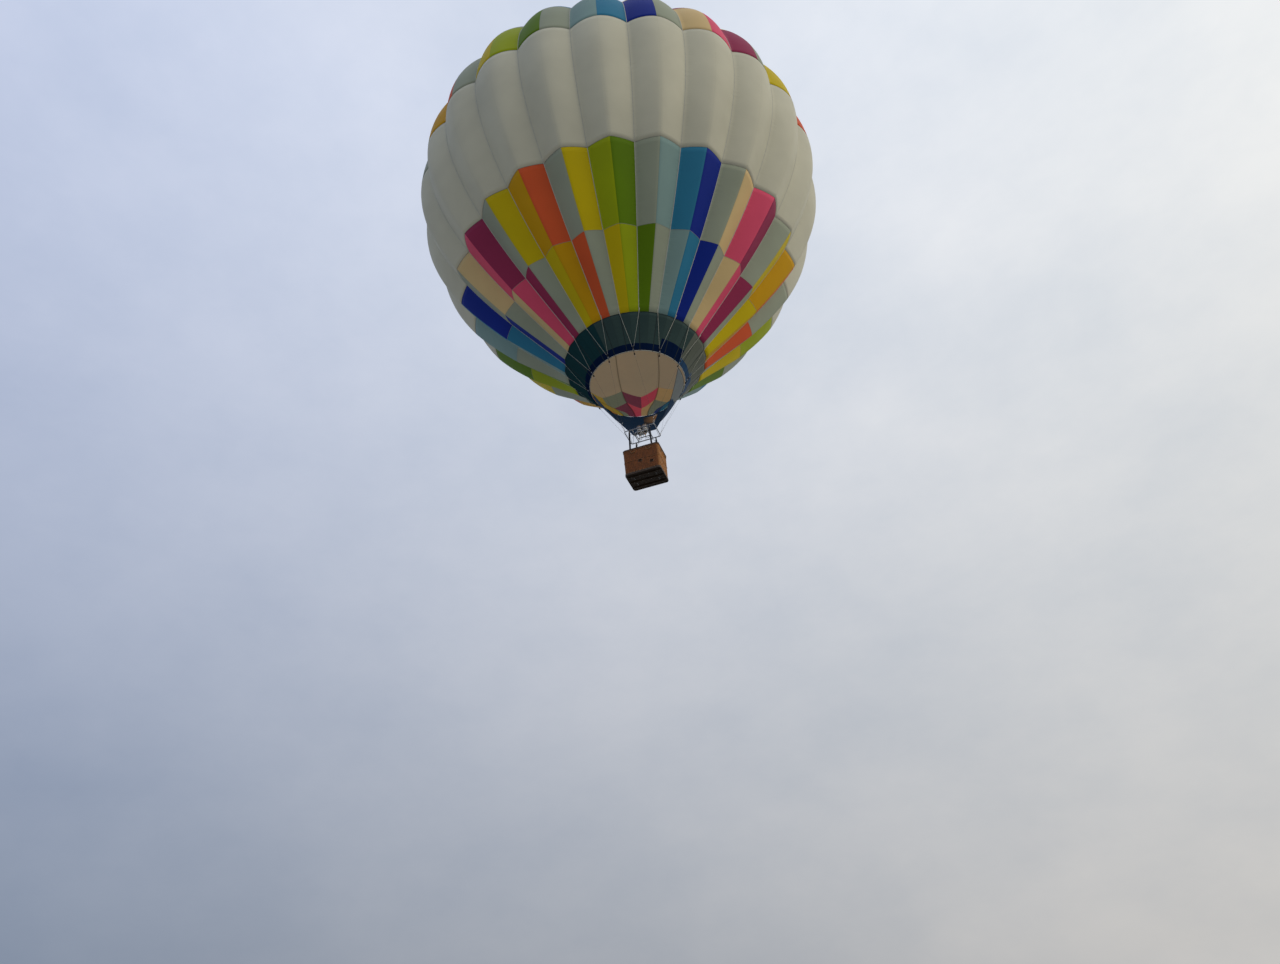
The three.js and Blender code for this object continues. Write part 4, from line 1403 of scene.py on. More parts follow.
def swell(piece, held, cap):
    """Inflate a closed piece; held is True for each vertex that stays where it is."""
    group = piece.vertex_groups.new(name="held")
    group.add([int(index) for index in np.flatnonzero(held)], 1.0, "REPLACE")
    cloth = piece.modifiers.new("swelling", "CLOTH")
    for name, value in CLOTH_SETTINGS.items():
        setattr(cloth.settings, name, value)
    cloth.settings.effector_weights.gravity = 0
    cloth.collision_settings.use_collision = False
    cloth.point_cache.frame_start = 1
    cloth.point_cache.frame_end = SWELL_FRAMES
    for step in range(1, SWELL_FRAMES + 1):
        scene.frame_set(step)
    rest = point_places(piece.data)
    shift = point_places(piece.evaluated_get(bpy.context.evaluated_depsgraph_get()).data) - rest
    reach = np.linalg.norm(shift, axis=1, keepdims=True)
    shift *= cap * np.tanh(reach / cap) / np.maximum(reach, 1e-9)
    piece.modifiers.remove(cloth)
    piece.vertex_groups.remove(group)
    piece.data.vertices.foreach_set("co", (rest + shift).ravel())
    piece.data.update()
    scene.frame_set(1)
    print(piece.name, "swells by up to", round(float(reach.max()) * 1000, 1), "mm before its cap")


# %% [markdown]
# ## Nylon uprights and their padded covers
#
# Four bent-over rods of white nylon keep the frame up when the envelope is slack. A padded
# cover is laced round each one, and the hoses run inside it. The rod is the frame's own piece
# with a nylon finish. The cover is a long soft tube that is pulled in at its ties and swells
# between them.

# %% Uprights and covers
COVER_RADIUS = 0.037
COVER_ENDS = (RIM_LEVEL - 0.060, FRAME_LEVEL - 0.125)
COVER_PADS = 7
FIRST_TIE = 0.012
TIED_LENGTH = 1 - 2 * FIRST_TIE
SIDES_OF_CORNER = {1: (1, -1), 2: (1, 1), 3: (-1, 1), 4: (-1, -1)}


def pad_share(share, start=0.0):
    """0 to 1 from one tie of a cover to the next."""
    return np.mod((share - FIRST_TIE) / TIED_LENGTH * COVER_PADS + start, 1.0)


def cover_section(share, number):
    """Loops of a cover's section at each share of its length, with creases and a lap."""
    turn = np.arange(40) * ROUND / 40
    tied = np.abs(pad_share(share) - 0.5) * 2
    puff = 1 - 0.10 * tied ** 6
    puff *= 1 - 0.55 * np.clip(np.abs(share - 0.5) * 2 - 0.97, 0, 1) / 0.03
    creases = 0.0012 * np.sin(share[:, None] * 190 + 3 * np.sin(turn * 2 + number))
    lap = 0.003 * np.exp(-((turn - 0.6) / 0.22) ** 2)
    radius = COVER_RADIUS * 0.91 * puff[:, None] + (creases + lap) * tied[:, None] ** 0.5 - 0.001
    return circle(40) * np.minimum(radius, COVER_RADIUS + 0.001)[..., None]


def upright_cover(number):
    sides = SIDES_OF_CORNER[number]
    low, high = (pole_point(level, *sides) for level in COVER_ENDS)
    share = np.linspace(0, 1, 141)
    away = unit((*sides, 0.0))
    way = unit(high - low)
    build = Build()
    path = low + (high - low) * share[:, None]
    build.sweep(path, cover_section(share, number), COVER_CLOTH, normal=away)
    solid = f"upright_cover_{number}"
    cover = build.piece(f"padded_cover_{number}", "balloon", "pole_cover", solid)
    along = (point_places(cover.data) - low) @ way / np.linalg.norm(high - low)
    near_tie = np.abs(pad_share(along, 0.5) - 0.5) < 0.04
    swell(cover, near_tie | (np.abs(along - 0.5) > 0.485), 0.0042)
    ties = Build()
    first = unit(np.cross(way, away))
    for tie in range(COVER_PADS + 1):
        place = low + (high - low) * (FIRST_TIE + tie * TIED_LENGTH / COVER_PADS)
        ties.ring(place, first, np.cross(way, first), 0.0318, 0.0022, BLACK_WEB, 28, 6)
        knot = place + away * 0.0335
        ties.tube([knot - first * 0.010, knot, knot + first * 0.010], 0.0035, BLACK_WEB, 8)
    ties.piece(f"cover_ties_{number}", "balloon", "pole_cover")


for number in SIDES_OF_CORNER:
    upright_cover(number)
    finish_node(f"upright_{number}", NYLON)

# %% [markdown]
# ## Cane and the woven walls
#
# The basket is woven from cane over stakes that run down under the floor. A photograph of weave
# would look flat from the side, so the weave is modelled: a grid follows the wall, and at each
# point the height of the weaver or of the stake decides how far it stands out. A weaver runs in
# front of one stake and behind the next, and the row above does the opposite.

# %% Cane finish


def cane(name, colour, dark):
    graph = Graph(name)
    place = graph.place("surface")
    spot = graph.place()
    # Painted shade: where the weave lies deep, the cane is painted nearly black
    depth = graph.part_of(graph.place("weave"), 0)
    fibre = graph.noise(graph.stretched(place, 700.0, 26.0), 1.0, 3.0, 0.6)
    stain = graph.noise(spot, 3.4, 4.0, 0.6).ramp(0.38, 0.72)
    patchy = graph.noise(graph.stretched(spot, 15.0, 15.0, 5.0), 1.0, 3.0, 0.6).ramp(0.32, 0.68)
    each_cane = graph.noise(graph.stretched(place, 62.0, 1.1), 1.0, 0.0)
    # Painted light: both short walls are painted a paler straw, in blotches, to look lit
    painted_light_short_walls = graph.part_of(spot, 0).size().ramp(0.60, 0.69, 0.0, 0.55) * (1.0 - patchy * 0.45)
    tone = graph.mix(each_cane.ramp(0.3, 0.7) * 0.45 + fibre * 0.35, colour, dark)
    for share, tint in (
        (stain * 0.30, (0.085, 0.036, 0.016)),
        (patchy * 0.55, (0.120, 0.046, 0.014)),
        (painted_light_short_walls, (0.66, 0.30, 0.060)),
    ):
        tone = graph.mix(share, tone, tint)
    graph.set(
        Base_Color=graph.mix(depth.ramp(0.1, 0.8), (0.012, 0.006, 0.004), tone),
        Roughness=fibre * 0.18 + 0.44,
        Specular_IOR_Level=0.22,
    )
    graph.bump(fibre, 0.0006, 0.6)
    return graph.owner


CANE = cane("basket_cane", (0.47, 0.155, 0.040), (0.22, 0.062, 0.014))

# %% Points on and near the walls
BASKET_HALF = (0.700, 0.525)
BASKET_CORNER = 0.110
WALL = 0.040
WALL_TAPER = 0.020
WALL_TOP = RIM_LEVEL - 0.0643
WALL_HEIGHT = WALL_TOP - FLOOR_LEVEL
STAKES = 84
WEAVERS = 54


def round_basket(steps, inset=0.0):
    """Points round the basket at even spacing, with their outward directions."""
    half = np.array(BASKET_HALF) - inset
    corner = BASKET_CORNER - inset
    dense = outline(*half, corner, 24)
    dense = np.concatenate([dense, dense[:1]])
    reach = run_of(dense)
    along = np.asarray(steps, float) * reach[-1]
    point = np.stack([np.interp(along, reach, dense[:, k]) for k in (0, 1)], axis=1)
    core = np.clip(point, corner - half, half - corner)
    return point, unit(point - core), reach[-1]


def off_wall(flat, away, stand, height):
    """Points at a distance from the line round the basket and at a height."""
    reach = np.broadcast_to(stand, len(flat))[:, None]
    return np.column_stack([flat + away * reach, np.broadcast_to(height, len(flat))])


def wall_lean(height):
    """How far the wall has come in at a height, as the basket is narrower at its foot."""
    return WALL_TAPER * (WALL_TOP - height) / WALL_HEIGHT


print("round the basket", round(float(round_basket([0.0])[2]), 2), "metres")

# %% Woven walls


def woven_row(level, face, spots, flat, away, length):
    """One row of the weave: its points, their place on the wall in metres, and depth for painted
    shade.
    """
    row = min(int(level), WEAVERS - 1)
    bulge = math.sqrt(max(0.0, 1 - (2 * (level - row) - 1) ** 2))
    weaver = 5 * face * np.cos(np.pi * (spots + row)) + 4 * bulge - 9
    stake = np.where(np.abs(spots - np.round(spots)) < 0.01, -4.0, -10.5)
    relief = np.maximum(weaver, stake)
    height = FLOOR_LEVEL + WALL_HEIGHT * level / WEAVERS
    stand = -WALL_TAPER * (1 - level / WEAVERS) + face * relief * 0.001 - (WALL if face < 0 else 0)
    points = off_wall(flat, away, stand, height)
    # How deep each point lies in the weave; the cane finish paints the deep ones dark as shade
    depth = np.clip(1 + relief / 12, 0, 1)
    measured = np.column_stack([points[:, 2], spots / STAKES * length])
    return points, measured, np.column_stack([depth, depth * 0])


def woven_walls():
    spots = (np.arange(STAKES)[:, None] + np.array((-0.14, 0.0, 0.14, 0.5))).ravel()
    wall_line = round_basket(spots / STAKES % 1.0)
    outer = (*(np.arange(WEAVERS)[:, None] + np.array((0.0, 0.3, 0.7))).ravel(), WEAVERS)
    inner = np.arange(WEAVERS * 2, -1, -1) / 2
    rows = [woven_row(level, 1, spots, *wall_line) for level in outer]
    rows += [woven_row(level, -1, spots, *wall_line) for level in inner]
    points, surface, weave = (np.stack(columns, axis=1) for columns in zip(*rows))
    faces = grid_faces(*points.shape[:2], wrap_rows=True)[:, ::-1]
    layers = {"surface": surface.reshape(-1, 2)[faces], "weave": weave.reshape(-1, 2)[faces]}
    points, faces = points.reshape(-1, 3), faces.tolist()
    return make_piece(
        "woven_walls", "balloon", ("basket_walls",), points, faces, [CANE],
        [0] * len(faces), layers,
    )


walls = woven_walls()

# %% Cut the step holes
HOLE_SIZE = (0.140, 0.120)
HOLES = [
    (-side * x, side, height)
    for x, height in ((-0.050, RIM_LEVEL - 0.650), (0.390, RIM_LEVEL - 0.795)) for side in (-1, 1)
]
mesh = bmesh.new()
for x, side, height in HOLES:
    place = Matrix.Translation((x, side * BASKET_HALF[1], height))
    size = Matrix.Diagonal((HOLE_SIZE[0], 0.2, HOLE_SIZE[1], 1.0))
    bmesh.ops.create_cube(mesh, size=1.0, matrix=place @ size)
cutter_mesh = bpy.data.meshes.new("hole_cutter")
mesh.to_mesh(cutter_mesh)
mesh.free()
cutter = bpy.data.objects.new("hole_cutter", cutter_mesh)
scene.collection.objects.link(cutter)
cut = walls.modifiers.new("step_holes", "BOOLEAN")
cut.operation = "DIFFERENCE"
cut.solver = "MANIFOLD"
cut.object = cutter
cut_walls = walls.evaluated_get(bpy.context.evaluated_depsgraph_get())
cut_mesh = bpy.data.meshes.new_from_object(cut_walls)
walls.modifiers.clear()
walls.data = cut_mesh
bpy.data.objects.remove(cutter)
print("walls after the holes", len(walls.data.polygons), "faces")

# %% [markdown]
# ## Plaited rows, hole frames and sockets
#
# Two canes that twist round each other close the weave at the top, at mid height and at the
# foot. Step holes are bound with leather, and leather sockets outside the wall take the
# feet of the uprights.

# %% Plaited rows
PLAIT_CANE = 0.0055
PLAIT_LEVELS = (
    WALL_TOP - 0.014, WALL_TOP - 0.032, (WALL_TOP + FLOOR_LEVEL) / 2 + 0.02, FLOOR_LEVEL + 0.060,
)


def plaited_rows():
    build = Build()
    steps = np.arange(STAKES * 8) / (STAKES * 8)
    flat, away, _ = round_basket(steps)
    for height in PLAIT_LEVELS:
        for phase in (0, np.pi):
            twist = steps * STAKES * np.pi + phase
            stand = 0.001 + 0.004 * np.cos(twist) - wall_lean(height)
            path = off_wall(flat, away, stand, height + PLAIT_CANE * np.sin(twist))
            build.tube(path, PLAIT_CANE, ROUND_CANE, 8, True)
    build.piece("plaited_rows", "balloon", "wicker")


plaited_rows()

# %% Hole frames and flaps
FLAP_HALF = 0.085
FLAP_DROP = 0.16
FLAP_THICKNESS = 0.0035


def hole_frames():
    build = Build()
    for x, side, height in HOLES:
        face = BASKET_HALF[1] - wall_lean(height)
        flat = outline(HOLE_SIZE[0] / 2 - 0.004, HOLE_SIZE[1] / 2 - 0.004, 0.016, 4)
        path = at_level(flat, 0)[:, (0, 2, 1)] + (x, side * (face - 0.02), height)
        normal = (flat[0][0], 0, flat[0][1])
        build.sweep(path, outline(0.0035, 0.025, 0.002, 2), SOCKET_LEATHER, True, normal)
        for depth in (0.022, -0.022):
            build.tube(path + Y * side * depth, 0.009, SOCKET_LEATHER, 10, True, Y)
        for spot in outline(HOLE_SIZE[0] / 2 + 0.014, HOLE_SIZE[1] / 2 + 0.014, 0.02, 5)[::2]:
            outward = np.array((spot[0], 0, spot[1]))
            start = outward + (x, side * (face + 0.003), height)
            end = start - unit(outward) * 0.012 + Y * side * 0.004
            build.tube([start, end], 0.0013, THREAD, 6)
    build.piece("step_hole_frames", "balloon", "rim_leather")


def hole_flaps():
    """A leather flap hangs inside each step hole and stops a foot from going through."""
    build = Build()
    wide = np.linspace(-FLAP_HALF, FLAP_HALF, 13)
    for x, side, height in HOLES:
        wall = BASKET_HALF[1] - wall_lean(height) - WALL
        rows = []
        for drop in np.linspace(0, FLAP_DROP, 12):
            bow = 0.006 * (1 - (wide / FLAP_HALF) ** 2) * drop / FLAP_DROP
            depth = side * (wall - FLAP_THICKNESS - bow)
            face = at_level(np.column_stack([wide + x, depth]), height + FLAP_HALF - drop)
            rows.append(np.concatenate([face, face[::-1] - Y * side * FLAP_THICKNESS]))
        build.grid(np.asarray(rows), SOCKET_LEATHER)
        for stud in (-0.07, 0.07):
            place = (x + stud, side * (wall - 0.0065), height + 0.072)
            build.turned([(0.006, 0), (0.005, 0.003), (0.002, 0.004)], BRASS, place, -Y * side, 12)
    build.piece("step_hole_flaps", "balloon", "rim_leather")


hole_frames()
hole_flaps()

# %% Sockets of the uprights
SOCKET = (
    (0.004, 0), (0.028, 0.002), (0.030, 0.012), (0.029, 0.112), (0.0255, 0.118), (0.0175, 0.117),
    (0.0175, 0.040), (0.004, 0.038),
)


def pole_sockets():
    build = Build()
    for side_x, side_y in SIDES_OF_CORNER.values():
        low, high = (pole_point(POLE_FOOT[2] + rise, side_x, side_y) for rise in (-0.040, 0.078))
        build.turned(SOCKET, SOCKET_LEATHER, low, high - low, 28, True)
        for level in (0.03, 0.09):
            place = low + (high - low) * level / 0.118 + Y * side_y * 0.052
            build.block((0.052, 0.080, 0.018), SOCKET_LEATHER, place)
    build.piece("pole_sockets", "balloon", "rim_leather")


pole_sockets()

# %% [markdown]
# ## Padded rim
#
# Leather over foam is laced round the top of the walls. It is one soft roll, pinched at each
# lacing, swollen between them, with folds that gather at the corners.

# %% Rim roll and lacing
RIM_HALF = (0.038, 0.032)
RIM_SECTIONS = 40
RIM_MIDDLE = RIM_LEVEL - RIM_HALF[1]


def rim_folds(steps, length, turn, away):
    """Small folds at the corners, and a slow wander everywhere."""
    run = (steps * length)[:, None]
    corner = np.exp(-((np.abs(away).min(axis=1) - 0.55) / 0.25) ** 2)[:, None]
    folds = 0.0012 * np.sin(run * 210) * (1 - np.sin(turn)) * corner
    return folds + 0.0009 * np.sin(run * 17 + 1.0) * np.cos(turn * 2 + 1)


def rim_roll():
    steps = np.arange(640) / 640
    flat, away, length = round_basket(steps, WALL / 2)
    turn = np.arange(32) * ROUND / 32
    pinch = np.abs(np.mod(steps * RIM_SECTIONS, 1.0) - 0.5) * 2
    puff = (1 - 0.055 * pinch ** 5)[:, None] * 0.92
    folds = rim_folds(steps, length, turn, away)
    across = (RIM_HALF[0] * puff + folds) * np.cos(turn)
    rise = (RIM_HALF[1] * puff + folds) * np.sin(turn)
    rise[:, np.sin(turn) < -0.86] = -RIM_HALF[1] + 0.0004
    points = np.empty((len(steps), len(turn), 3))
    points[..., :2] = flat[:, None] + away[:, None] * across[..., None]
    points[..., 2] = RIM_MIDDLE + rise
    build = Build()
    build.grid(points, RIM_LEATHER, wrap_rows=True)
    roll = build.piece("rim_roll", "balloon", "rim_leather", "basket_rim")
    laced = np.repeat(np.isclose(pinch, 1.0), len(turn))
    on_wall = points[..., 2].ravel() < RIM_LEVEL - 1.74 * RIM_HALF[1]
    swell(roll, laced | on_wall, 0.0036)


def rim_lacing():
    build = Build()
    loop = circle(28) * np.array(RIM_HALF) * 0.885
    flat, away, _ = round_basket(np.arange(RIM_SECTIONS) / RIM_SECTIONS, WALL / 2)
    for point, out in zip(at_level(flat, RIM_MIDDLE), at_level(away, 0)):
        build.strap(point + loop @ np.stack([out, Z]), 0.009, 0.003, SOCKET_LEATHER, True, out)
    build.piece("rim_lacing", "balloon", "rim_leather")


rim_roll()
rim_lacing()

# %% [markdown]
# ## Foot of the basket
#
# Rawhide wraps the foot where the basket drags over stubble. It is laced on wet and shrinks as it
# dries, so its edge waves. Under the floor board run three ash runners and the wires
# that carry the load.

# %% Rawhide foot
HIDE_LOW, HIDE_HIGH = FLOOR_LEVEL - 0.040, FLOOR_LEVEL + 0.045
HIDE_INNER = -0.0187
HIDE_STEPS = 480
STITCH_STEP = 6
HIDE_FACE = 0.0115
HIDE_SECTION = (  # distance from the inner face, height, and 1 where the hide is dented
    (0.0, HIDE_LOW, 0), (0.009, HIDE_LOW, 0), (HIDE_FACE, HIDE_LOW + 0.004, 0),
    (HIDE_FACE, FLOOR_LEVEL, 1), (0.0105, HIDE_HIGH - 0.010, 1), (0.009, HIDE_HIGH - 0.004, 1),
    (0.0, HIDE_HIGH - 0.005, 0),
)


def rawhide_foot():
    steps = np.arange(HIDE_STEPS) / HIDE_STEPS
    flat, away, length = round_basket(steps)
    run = steps * length
    wave = 0.003 * np.sin(run * 26) + 0.002 * np.sin(run * 61 + 1)
    dent = 0.0012 * np.sin(run * 34 + 2) - 0.001
    columns = [
        off_wall(
            flat, away, HIDE_INNER + stand + dent * dented, height + wave * (height > FLOOR_LEVEL),
        )
        for stand, height, dented in HIDE_SECTION
    ]
    build = Build()
    build.grid(np.stack(columns, axis=1), RAWHIDE, wrap_rows=True)
    spots = off_wall(flat, away, HIDE_INNER + HIDE_FACE, HIDE_HIGH - 0.014)
    for spot, out in zip(spots[::STITCH_STEP], at_level(away, 0)[::STITCH_STEP]):
        reach = np.cross(Z, out) * 0.012 + Z * 0.005
        build.tube([spot - reach, spot + out * 0.002, spot + reach], 0.0022, THREAD, 6)
    build.piece("rawhide_foot", "balloon", "rawhide", "basket_hide")


rawhide_foot()

# %% Runners
FLOOR_UNDERSIDE = FLOOR_LEVEL - 0.0253
RUNNER_WIDTH = 0.060
RUNNER_DEPTH = 0.045
RUNNER_TOP = FLOOR_UNDERSIDE - 0.0003
RUNNER_NOSE = ((0.56, 0), (0.625, 0.018), (0.64, 0.026))  # place along it, and how far it has risen
RUNNER_LINE = (*((-along, lift) for along, lift in RUNNER_NOSE[::-1]), *RUNNER_NOSE)


def runners():
    for number, place in ((1, -0.33), (2, 0.0), (3, 0.33)):
        build = Build()
        loops = []
        for along, lift in RUNNER_LINE:
            depth = RUNNER_DEPTH - lift
            loop = at_level(outline(RUNNER_WIDTH / 2, depth / 2, 0.005, 2), 0)[:, (2, 0, 1)]
            loops.append(loop + (along, place, RUNNER_TOP - depth / 2))
        build.grid(np.asarray(loops), SKID_WOOD)
        for hole in (-0.5, -0.17, 0.17, 0.5):
            spot = (hole, place, RUNNER_TOP - RUNNER_DEPTH + 0.005)
            build.bolt(spot, -Z, 0.008, GALVANISED)
        build.piece(f"runner_{number}", "balloon", "skid_wood", f"skid_{number}")


runners()
finish_node("basket_floor", FLOOR_WOOD)

# %% [markdown]
# ## Fuel cylinders
#
# Four cylinders stand in the corners. Each is a drawn tank with a foot ring, and a guard collar
# round its valve.

# %% Fuel cylinders
VALVE_LEVEL = 0.834
STRAP_LEVELS = (0.20, 0.56)
STRAP_RADIUS = 0.1305
TANK_STEM = ((0.018, 0.798), (0.018, 0.822), (0.013, 0.824), (0.013, 0.846), (0.008, 0.848),
             (0.008, 0.858))
OUTLET = ((0.011, 0.010), (0.011, 0.030), (0.014, 0.031), (0.014, 0.046))
TANK_SEAM = ((0.129, 0.370), (0.1298, 0.374), (0.1298, 0.382), (0.129, 0.386))


def tank_profile():
    turn = np.linspace(0, np.pi / 2, 9)
    low = np.column_stack([0.065 + 0.064 * np.sin(turn), 0.078 - 0.042 * np.cos(turn)])
    high = np.column_stack([0.055 + 0.074 * np.cos(turn), 0.715 + 0.060 * np.sin(turn)])
    return np.concatenate([[(0.02, 0.034)], low, TANK_SEAM, high, [(0.024, 0.785), (0.022, 0.800)]])


def tank_valve(build, base, side_x, side_y):
    build.turned(TANK_STEM, BRASS, base, Z, 20)
    wheel = base + Z * 0.861
    build.ring(wheel, X, Y, 0.024, 0.0045, RED_GRIP, 28, 8)
    for spoke in at_level(circle(3) * 0.024, 0):
        build.tube([wheel, wheel + spoke], 0.003, RED_GRIP, 6)
    build.turned(OUTLET, BRASS, base + Z * VALVE_LEVEL, (-side_x, -side_y, 0), 6)
    build.disc(0.020, 0.010, STAINLESS, base + Z * 0.795 + X * side_x * 0.045, Z)


def fuel_cylinder(number):
    side_x, side_y = SIDES_OF_CORNER[number]
    base = np.array((side_x * 0.5, side_y * 0.325, FLOOR_LEVEL))
    build = Build()
    build.hollow(0.104, 0.110, 0.001, 0.052, TANK_METAL, base, Z, 56)
    build.turned(tank_profile(), TANK_METAL, base, Z, 64)
    build.hollow(0.070, 0.074, 0.770, 0.800, TANK_METAL, base, Z, 48)
    build.hollow(0.070, 0.075, 0.872, 0.900, TANK_METAL, base, Z, 48)
    spans = np.arange(4)[:, None] * 90 + np.linspace(-20, 20, 7)
    curved_bars(build, spans, 0.0702, 0.0738, (0.799, 0.873), base, TANK_METAL)
    tank_valve(build, base, side_x, side_y)
    for height in STRAP_LEVELS:
        loop = at_level(circle(48) * STRAP_RADIUS, height) + base
        build.strap(loop, 0.040, 0.002, BLACK_WEB, True, X)
        buckle = base + (0, -side_y * 0.134, height)
        build.block((0.050, 0.008, 0.048), GALVANISED, buckle, edge=0.002)
    build.piece(f"fuel_tank_{number}", "balloon", "cylinder_steel", f"fuel_cylinder_{number}")


for number in SIDES_OF_CORNER:
    fuel_cylinder(number)
finish_node("crown_tapes", PALE_TAPE)

# %% [markdown]
# ## Hoses
#
# Each cylinder feeds the burner through a rubber hose. It leaves the valve, bends round into the
# foot of the padded cover, comes out below the frame, is tied to the gimbal ring, and ends at a
# union on the valve block. A hose is stiff: it keeps wide bends, so its line is a smooth curve
# through a few points. The upper lengths cross the joints, so they ride no body.

# %% Smooth lines, hoses and ropes
HOSE_RADIUS = 0.007
TANK_HOSE = (  # heights from the cylinder's outlet
    (0.466, 0.291, 0), (0.421, 0.257, 0.007), (0.373, 0.244, 0.034), (0.337, 0.257, 0.076),
    (0.324, 0.290, 0.121), (0.338, 0.330, 0.159), (0.368, 0.364, 0.194), (0.398, 0.387, 0.236),
    (0.411, 0.397, 0.291),
)
FRAME_HOSE = (  # heights from the middle of the frame's tubes, as for the next
    (0.388, 0.388, -0.245), (0.370, 0.371, -0.205), (0.344, 0.343, -0.177), (0.315, 0.309, -0.163),
    (0.286, 0.272, -0.156), (0.262, 0.234, -0.141), (0.242, 0.202, -0.112), (0.231, 0.182, -0.071),
    (0.228, 0.176, -0.024),
)
BLOCK_HOSE = (
    (0.216, 0.166, -0.024), (0.210, 0.169, -0.062), (0.186, 0.176, -0.091), (0.150, 0.180, -0.102),
    (0.113, 0.176, -0.093), (0.088, 0.162, -0.067), (0.079, 0.139, -0.038), (0.082, 0.108, -0.016),
    (0.085, 0.070, -0.010),
)
FERRULE = ((0.0078, 0), (0.0095, 0.002), (0.0095, 0.024), (0.0082, 0.028))


def smooth_line(points, count):
    """A curve through all the points, sampled at even spacing."""
    points = np.asarray(points, float)
    padded = np.concatenate([[2 * points[0] - points[1]], points, [2 * points[-1] - points[-2]]])
    t = np.linspace(0, 1, 24, endpoint=False)[:, None]
    dense = []
    for a, b, c, d in zip(padded, padded[1:], padded[2:], padded[3:]):
        bend = 2 * a - 5 * b + 4 * c - d
        twist = 3 * b - a - 3 * c + d
        dense.append(0.5 * (2 * b + (c - a) * t + bend * t ** 2 + twist * t ** 3))
    dense = np.concatenate(dense + [points[-1:]])
    reach = run_of(dense)
    even = np.linspace(0, reach[-1], count)
    line = np.stack([np.interp(even, reach, dense[:, k]) for k in range(3)], axis=1)
    return line, float(reach[-1])


def cord(name, points, radius, finish, slot, body, count=36):
    """A hose or a rope along a smooth line, riding the given body or none."""
    line, length = smooth_line(points, count)
    build = Build()
    build.tube(line, radius, finish, 14)
    piece = build.piece(name, body, slot)
    print(name, "length", round(length, 3))
    return piece, line


def hose(name, points, body=None):
    return cord(name, points, HOSE_RADIUS, RUBBER, "pole_cover", body)


def ferrule(name, body, place, way):
    build = Build()
    build.turned(FERRULE, BRASS, place, way, 18)
    build.piece(name, body, "burner_steel")


def hoses(number):
    sides = np.array((*SIDES_OF_CORNER[number], 1))
    outlet = Z * (FLOOR_LEVEL + VALVE_LEVEL)
    piece, line = hose(f"tank_hose_{number}", (outlet + TANK_HOSE) * sides, "balloon")
    ferrule(f"tank_hose_end_{number}", "balloon", line[0], line[1] - line[0])
    piece, line = hose(f"frame_hose_{number}", (CENTRE + FRAME_HOSE) * sides)
    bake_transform(piece)
    ferrule(f"frame_hose_end_{number}", "gimbal", line[-1], line[-3] - line[-1])
    piece, line = hose(f"block_hose_{number}", (CENTRE + BLOCK_HOSE) * sides)
    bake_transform(piece)
    ferrule(f"block_hose_end_{number}", "burners", line[-1], line[-3] - line[-1])
    clamp = Build()
    clamp.block((0.040, 0.034, 0.014), GALVANISED, (CENTRE + (0.221, 0.171, -0.022)) * sides)
    clamp.piece(f"hose_clamp_{number}", "gimbal", "frame_steel")


for number in SIDES_OF_CORNER:
    hoses(number)

# %% [markdown]
# ## Rope handles and floor wires
#
# Rope handles hang from the walls for the ground crew. Steel wires carry the load from the
# karabiners down the uprights and under the floor, where they lie between the runners.

# %% Handles and wires under the floor
HANDLE_RADIUS = 0.0105
HANDLE_LEVEL = RIM_LEVEL - 0.115
HANDLE_LINE = np.array((
    (-0.082, -0.013, 0.004), (-0.084, 0.002, -0.013), (-0.087, 0.019, -0.051),
    (-0.072, 0.026, -0.089), (-0.041, 0.027, -0.116), (0.0, 0.026, -0.124),
))
HANDLES = (
    (0.30, 0, -1), (-0.30, 0, -1), (0.30, 0, 1), (-0.30, 0, 1), (0.22, 1, 0), (-0.22, 1, 0),
    (0.22, -1, 0), (-0.22, -1, 0),
)
WIRE_LEVEL = FLOOR_UNDERSIDE - 0.0045


def rope_handle(number, along, side_x, side_y):
    out = np.array((side_x, side_y, 0.0))
    run = np.abs(out[[1, 0, 2]])
    wall = BASKET_HALF[0] if side_x else BASKET_HALF[1]
    centre = run * along + out * (wall - 0.004) + Z * HANDLE_LEVEL
    spots = np.concatenate([HANDLE_LINE, HANDLE_LINE[-2::-1] * (-1, 1, 1)])
    points = centre + spots @ np.stack([run, out, Z])
    name = f"rope_handle_{number}"
    cord(name, points, HANDLE_RADIUS, HANDLE_ROPE, "rim_leather", "balloon", 60)


def floor_wires():
    build = Build()
    for place in (-0.20, -0.13, 0.13, 0.20):
        line = [(along, place, WIRE_LEVEL) for along in (-0.655, -0.30, 0.30, 0.655)]
        build.tube(line, 0.003, WIRE)
        for end in (-0.42, 0.42):
            clip = (end, place, WIRE_LEVEL - 0.002)
            build.block((0.030, 0.016, 0.006), GALVANISED, clip, edge=0.001)
    build.piece("floor_wires", "balloon", "wire")


for number, handle in enumerate(HANDLES, start=1):
    rope_handle(number, *handle)
floor_wires()

# %% [markdown]
# ## Daylight
#
# The balloon stands against thin cloud, and most of its underside is lit by the ground. The world
# gives the sky, a wide pale floor throws it back up, and one broad soft lamp from the right
# shapes the gores.

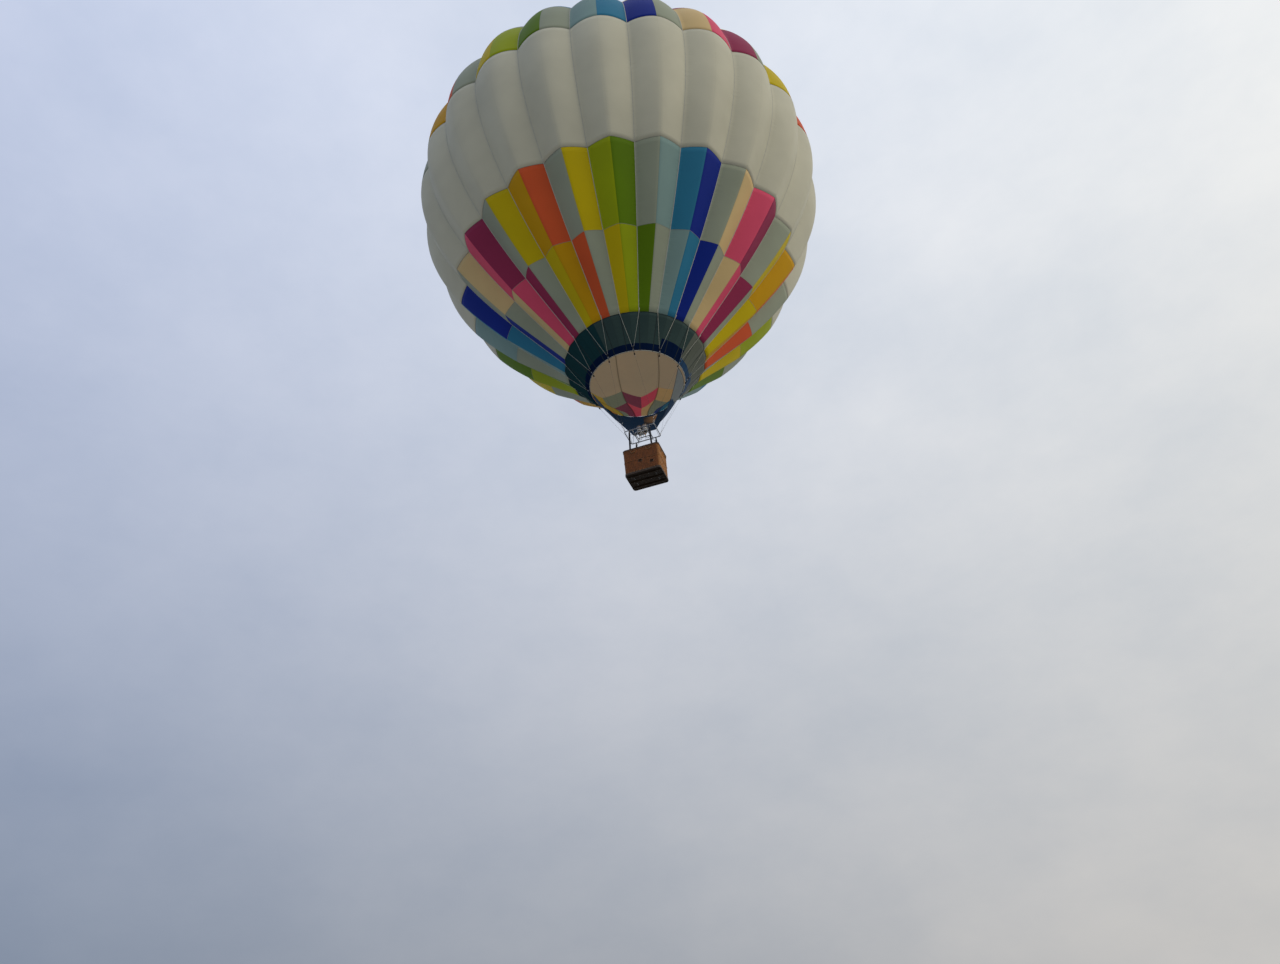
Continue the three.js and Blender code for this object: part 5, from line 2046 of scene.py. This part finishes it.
# %% Floor, world and lamp
FLOOR_DEPTH = 0.5
FLOOR_REACH = 260.0
SUN_SIDE = (0.962, 0.272, 0.0)
SUN_WAY = Vector((-0.92, 0.16, -0.30))
SHADE_LOW, SHADE_HIGH = (0.215, 0.26, 0.34), (0.60, 0.665, 0.85)
SUN_LOW, SUN_HIGH = (0.62, 0.60, 0.57), (0.93, 0.95, 0.96)
CLOUD_TINT = (0.84, 0.87, 0.91)


def floor_material():
    graph = Graph("floor")
    mottle = graph.noise(graph.place(), 0.4, 4.0)
    graph.set(Base_Color=graph.mix(mottle, (0.37, 0.36, 0.33), (0.42, 0.41, 0.38)), Roughness=0.9)
    return graph.owner


def pale_sky():
    """Thin cloud, paler on the sun's side and darker towards the horizon."""
    graph = Graph("sky", world=True)
    place = graph.node("ShaderNodeTexCoord", output="Generated")
    height = graph.part_of(place, 2).ramp(0.15, 0.85)
    settings = {"operation": "DOT_PRODUCT"}
    side = graph.node("ShaderNodeVectorMath", settings, {0: place, 1: SUN_SIDE}, "Value")
    shade = graph.mix(height, SHADE_LOW, SHADE_HIGH)
    sunny = graph.mix(height, SUN_LOW, SUN_HIGH)
    sky = graph.mix(side.ramp(-0.55, 0.55), shade, sunny)
    cloud = graph.noise(graph.stretched(place, 2.4, 2.4, 4.0), 1.0, 6.0, 0.62).ramp(0.36, 0.66)
    graph.set(Color=graph.mix(cloud, sky, CLOUD_TINT, "MULTIPLY"))
    return graph.owner


floor_height = camera_place.z - FLOOR_DEPTH
floor_mesh = bpy.data.meshes.new("floor")
floor_corners = [(-1, -1), (1, -1), (1, 1), (-1, 1)]
floor_points = [(x * FLOOR_REACH, y * FLOOR_REACH, floor_height) for x, y in floor_corners]
floor_mesh.from_pydata(floor_points, [], [(0, 1, 2, 3)])
floor_mesh.materials.append(floor_material())
floor_piece = bpy.data.objects.new("floor", floor_mesh)
scene.collection.objects.link(floor_piece)
scene.world = pale_sky()

lamp_data = bpy.data.lights.new("soft_side_light", "SUN")
lamp_data.energy = 0.86
lamp_data.angle = math.radians(50)
lamp_data.color = (1.0, 0.90, 0.74)
lamp = bpy.data.objects.new("soft_side_light", lamp_data)
lamp.rotation_euler = SUN_WAY.to_track_quat("-Z", "Y").to_euler()
scene.collection.objects.link(lamp)
scene.view_settings.view_transform = "Standard"
print("floor at", round(floor_height, 2))
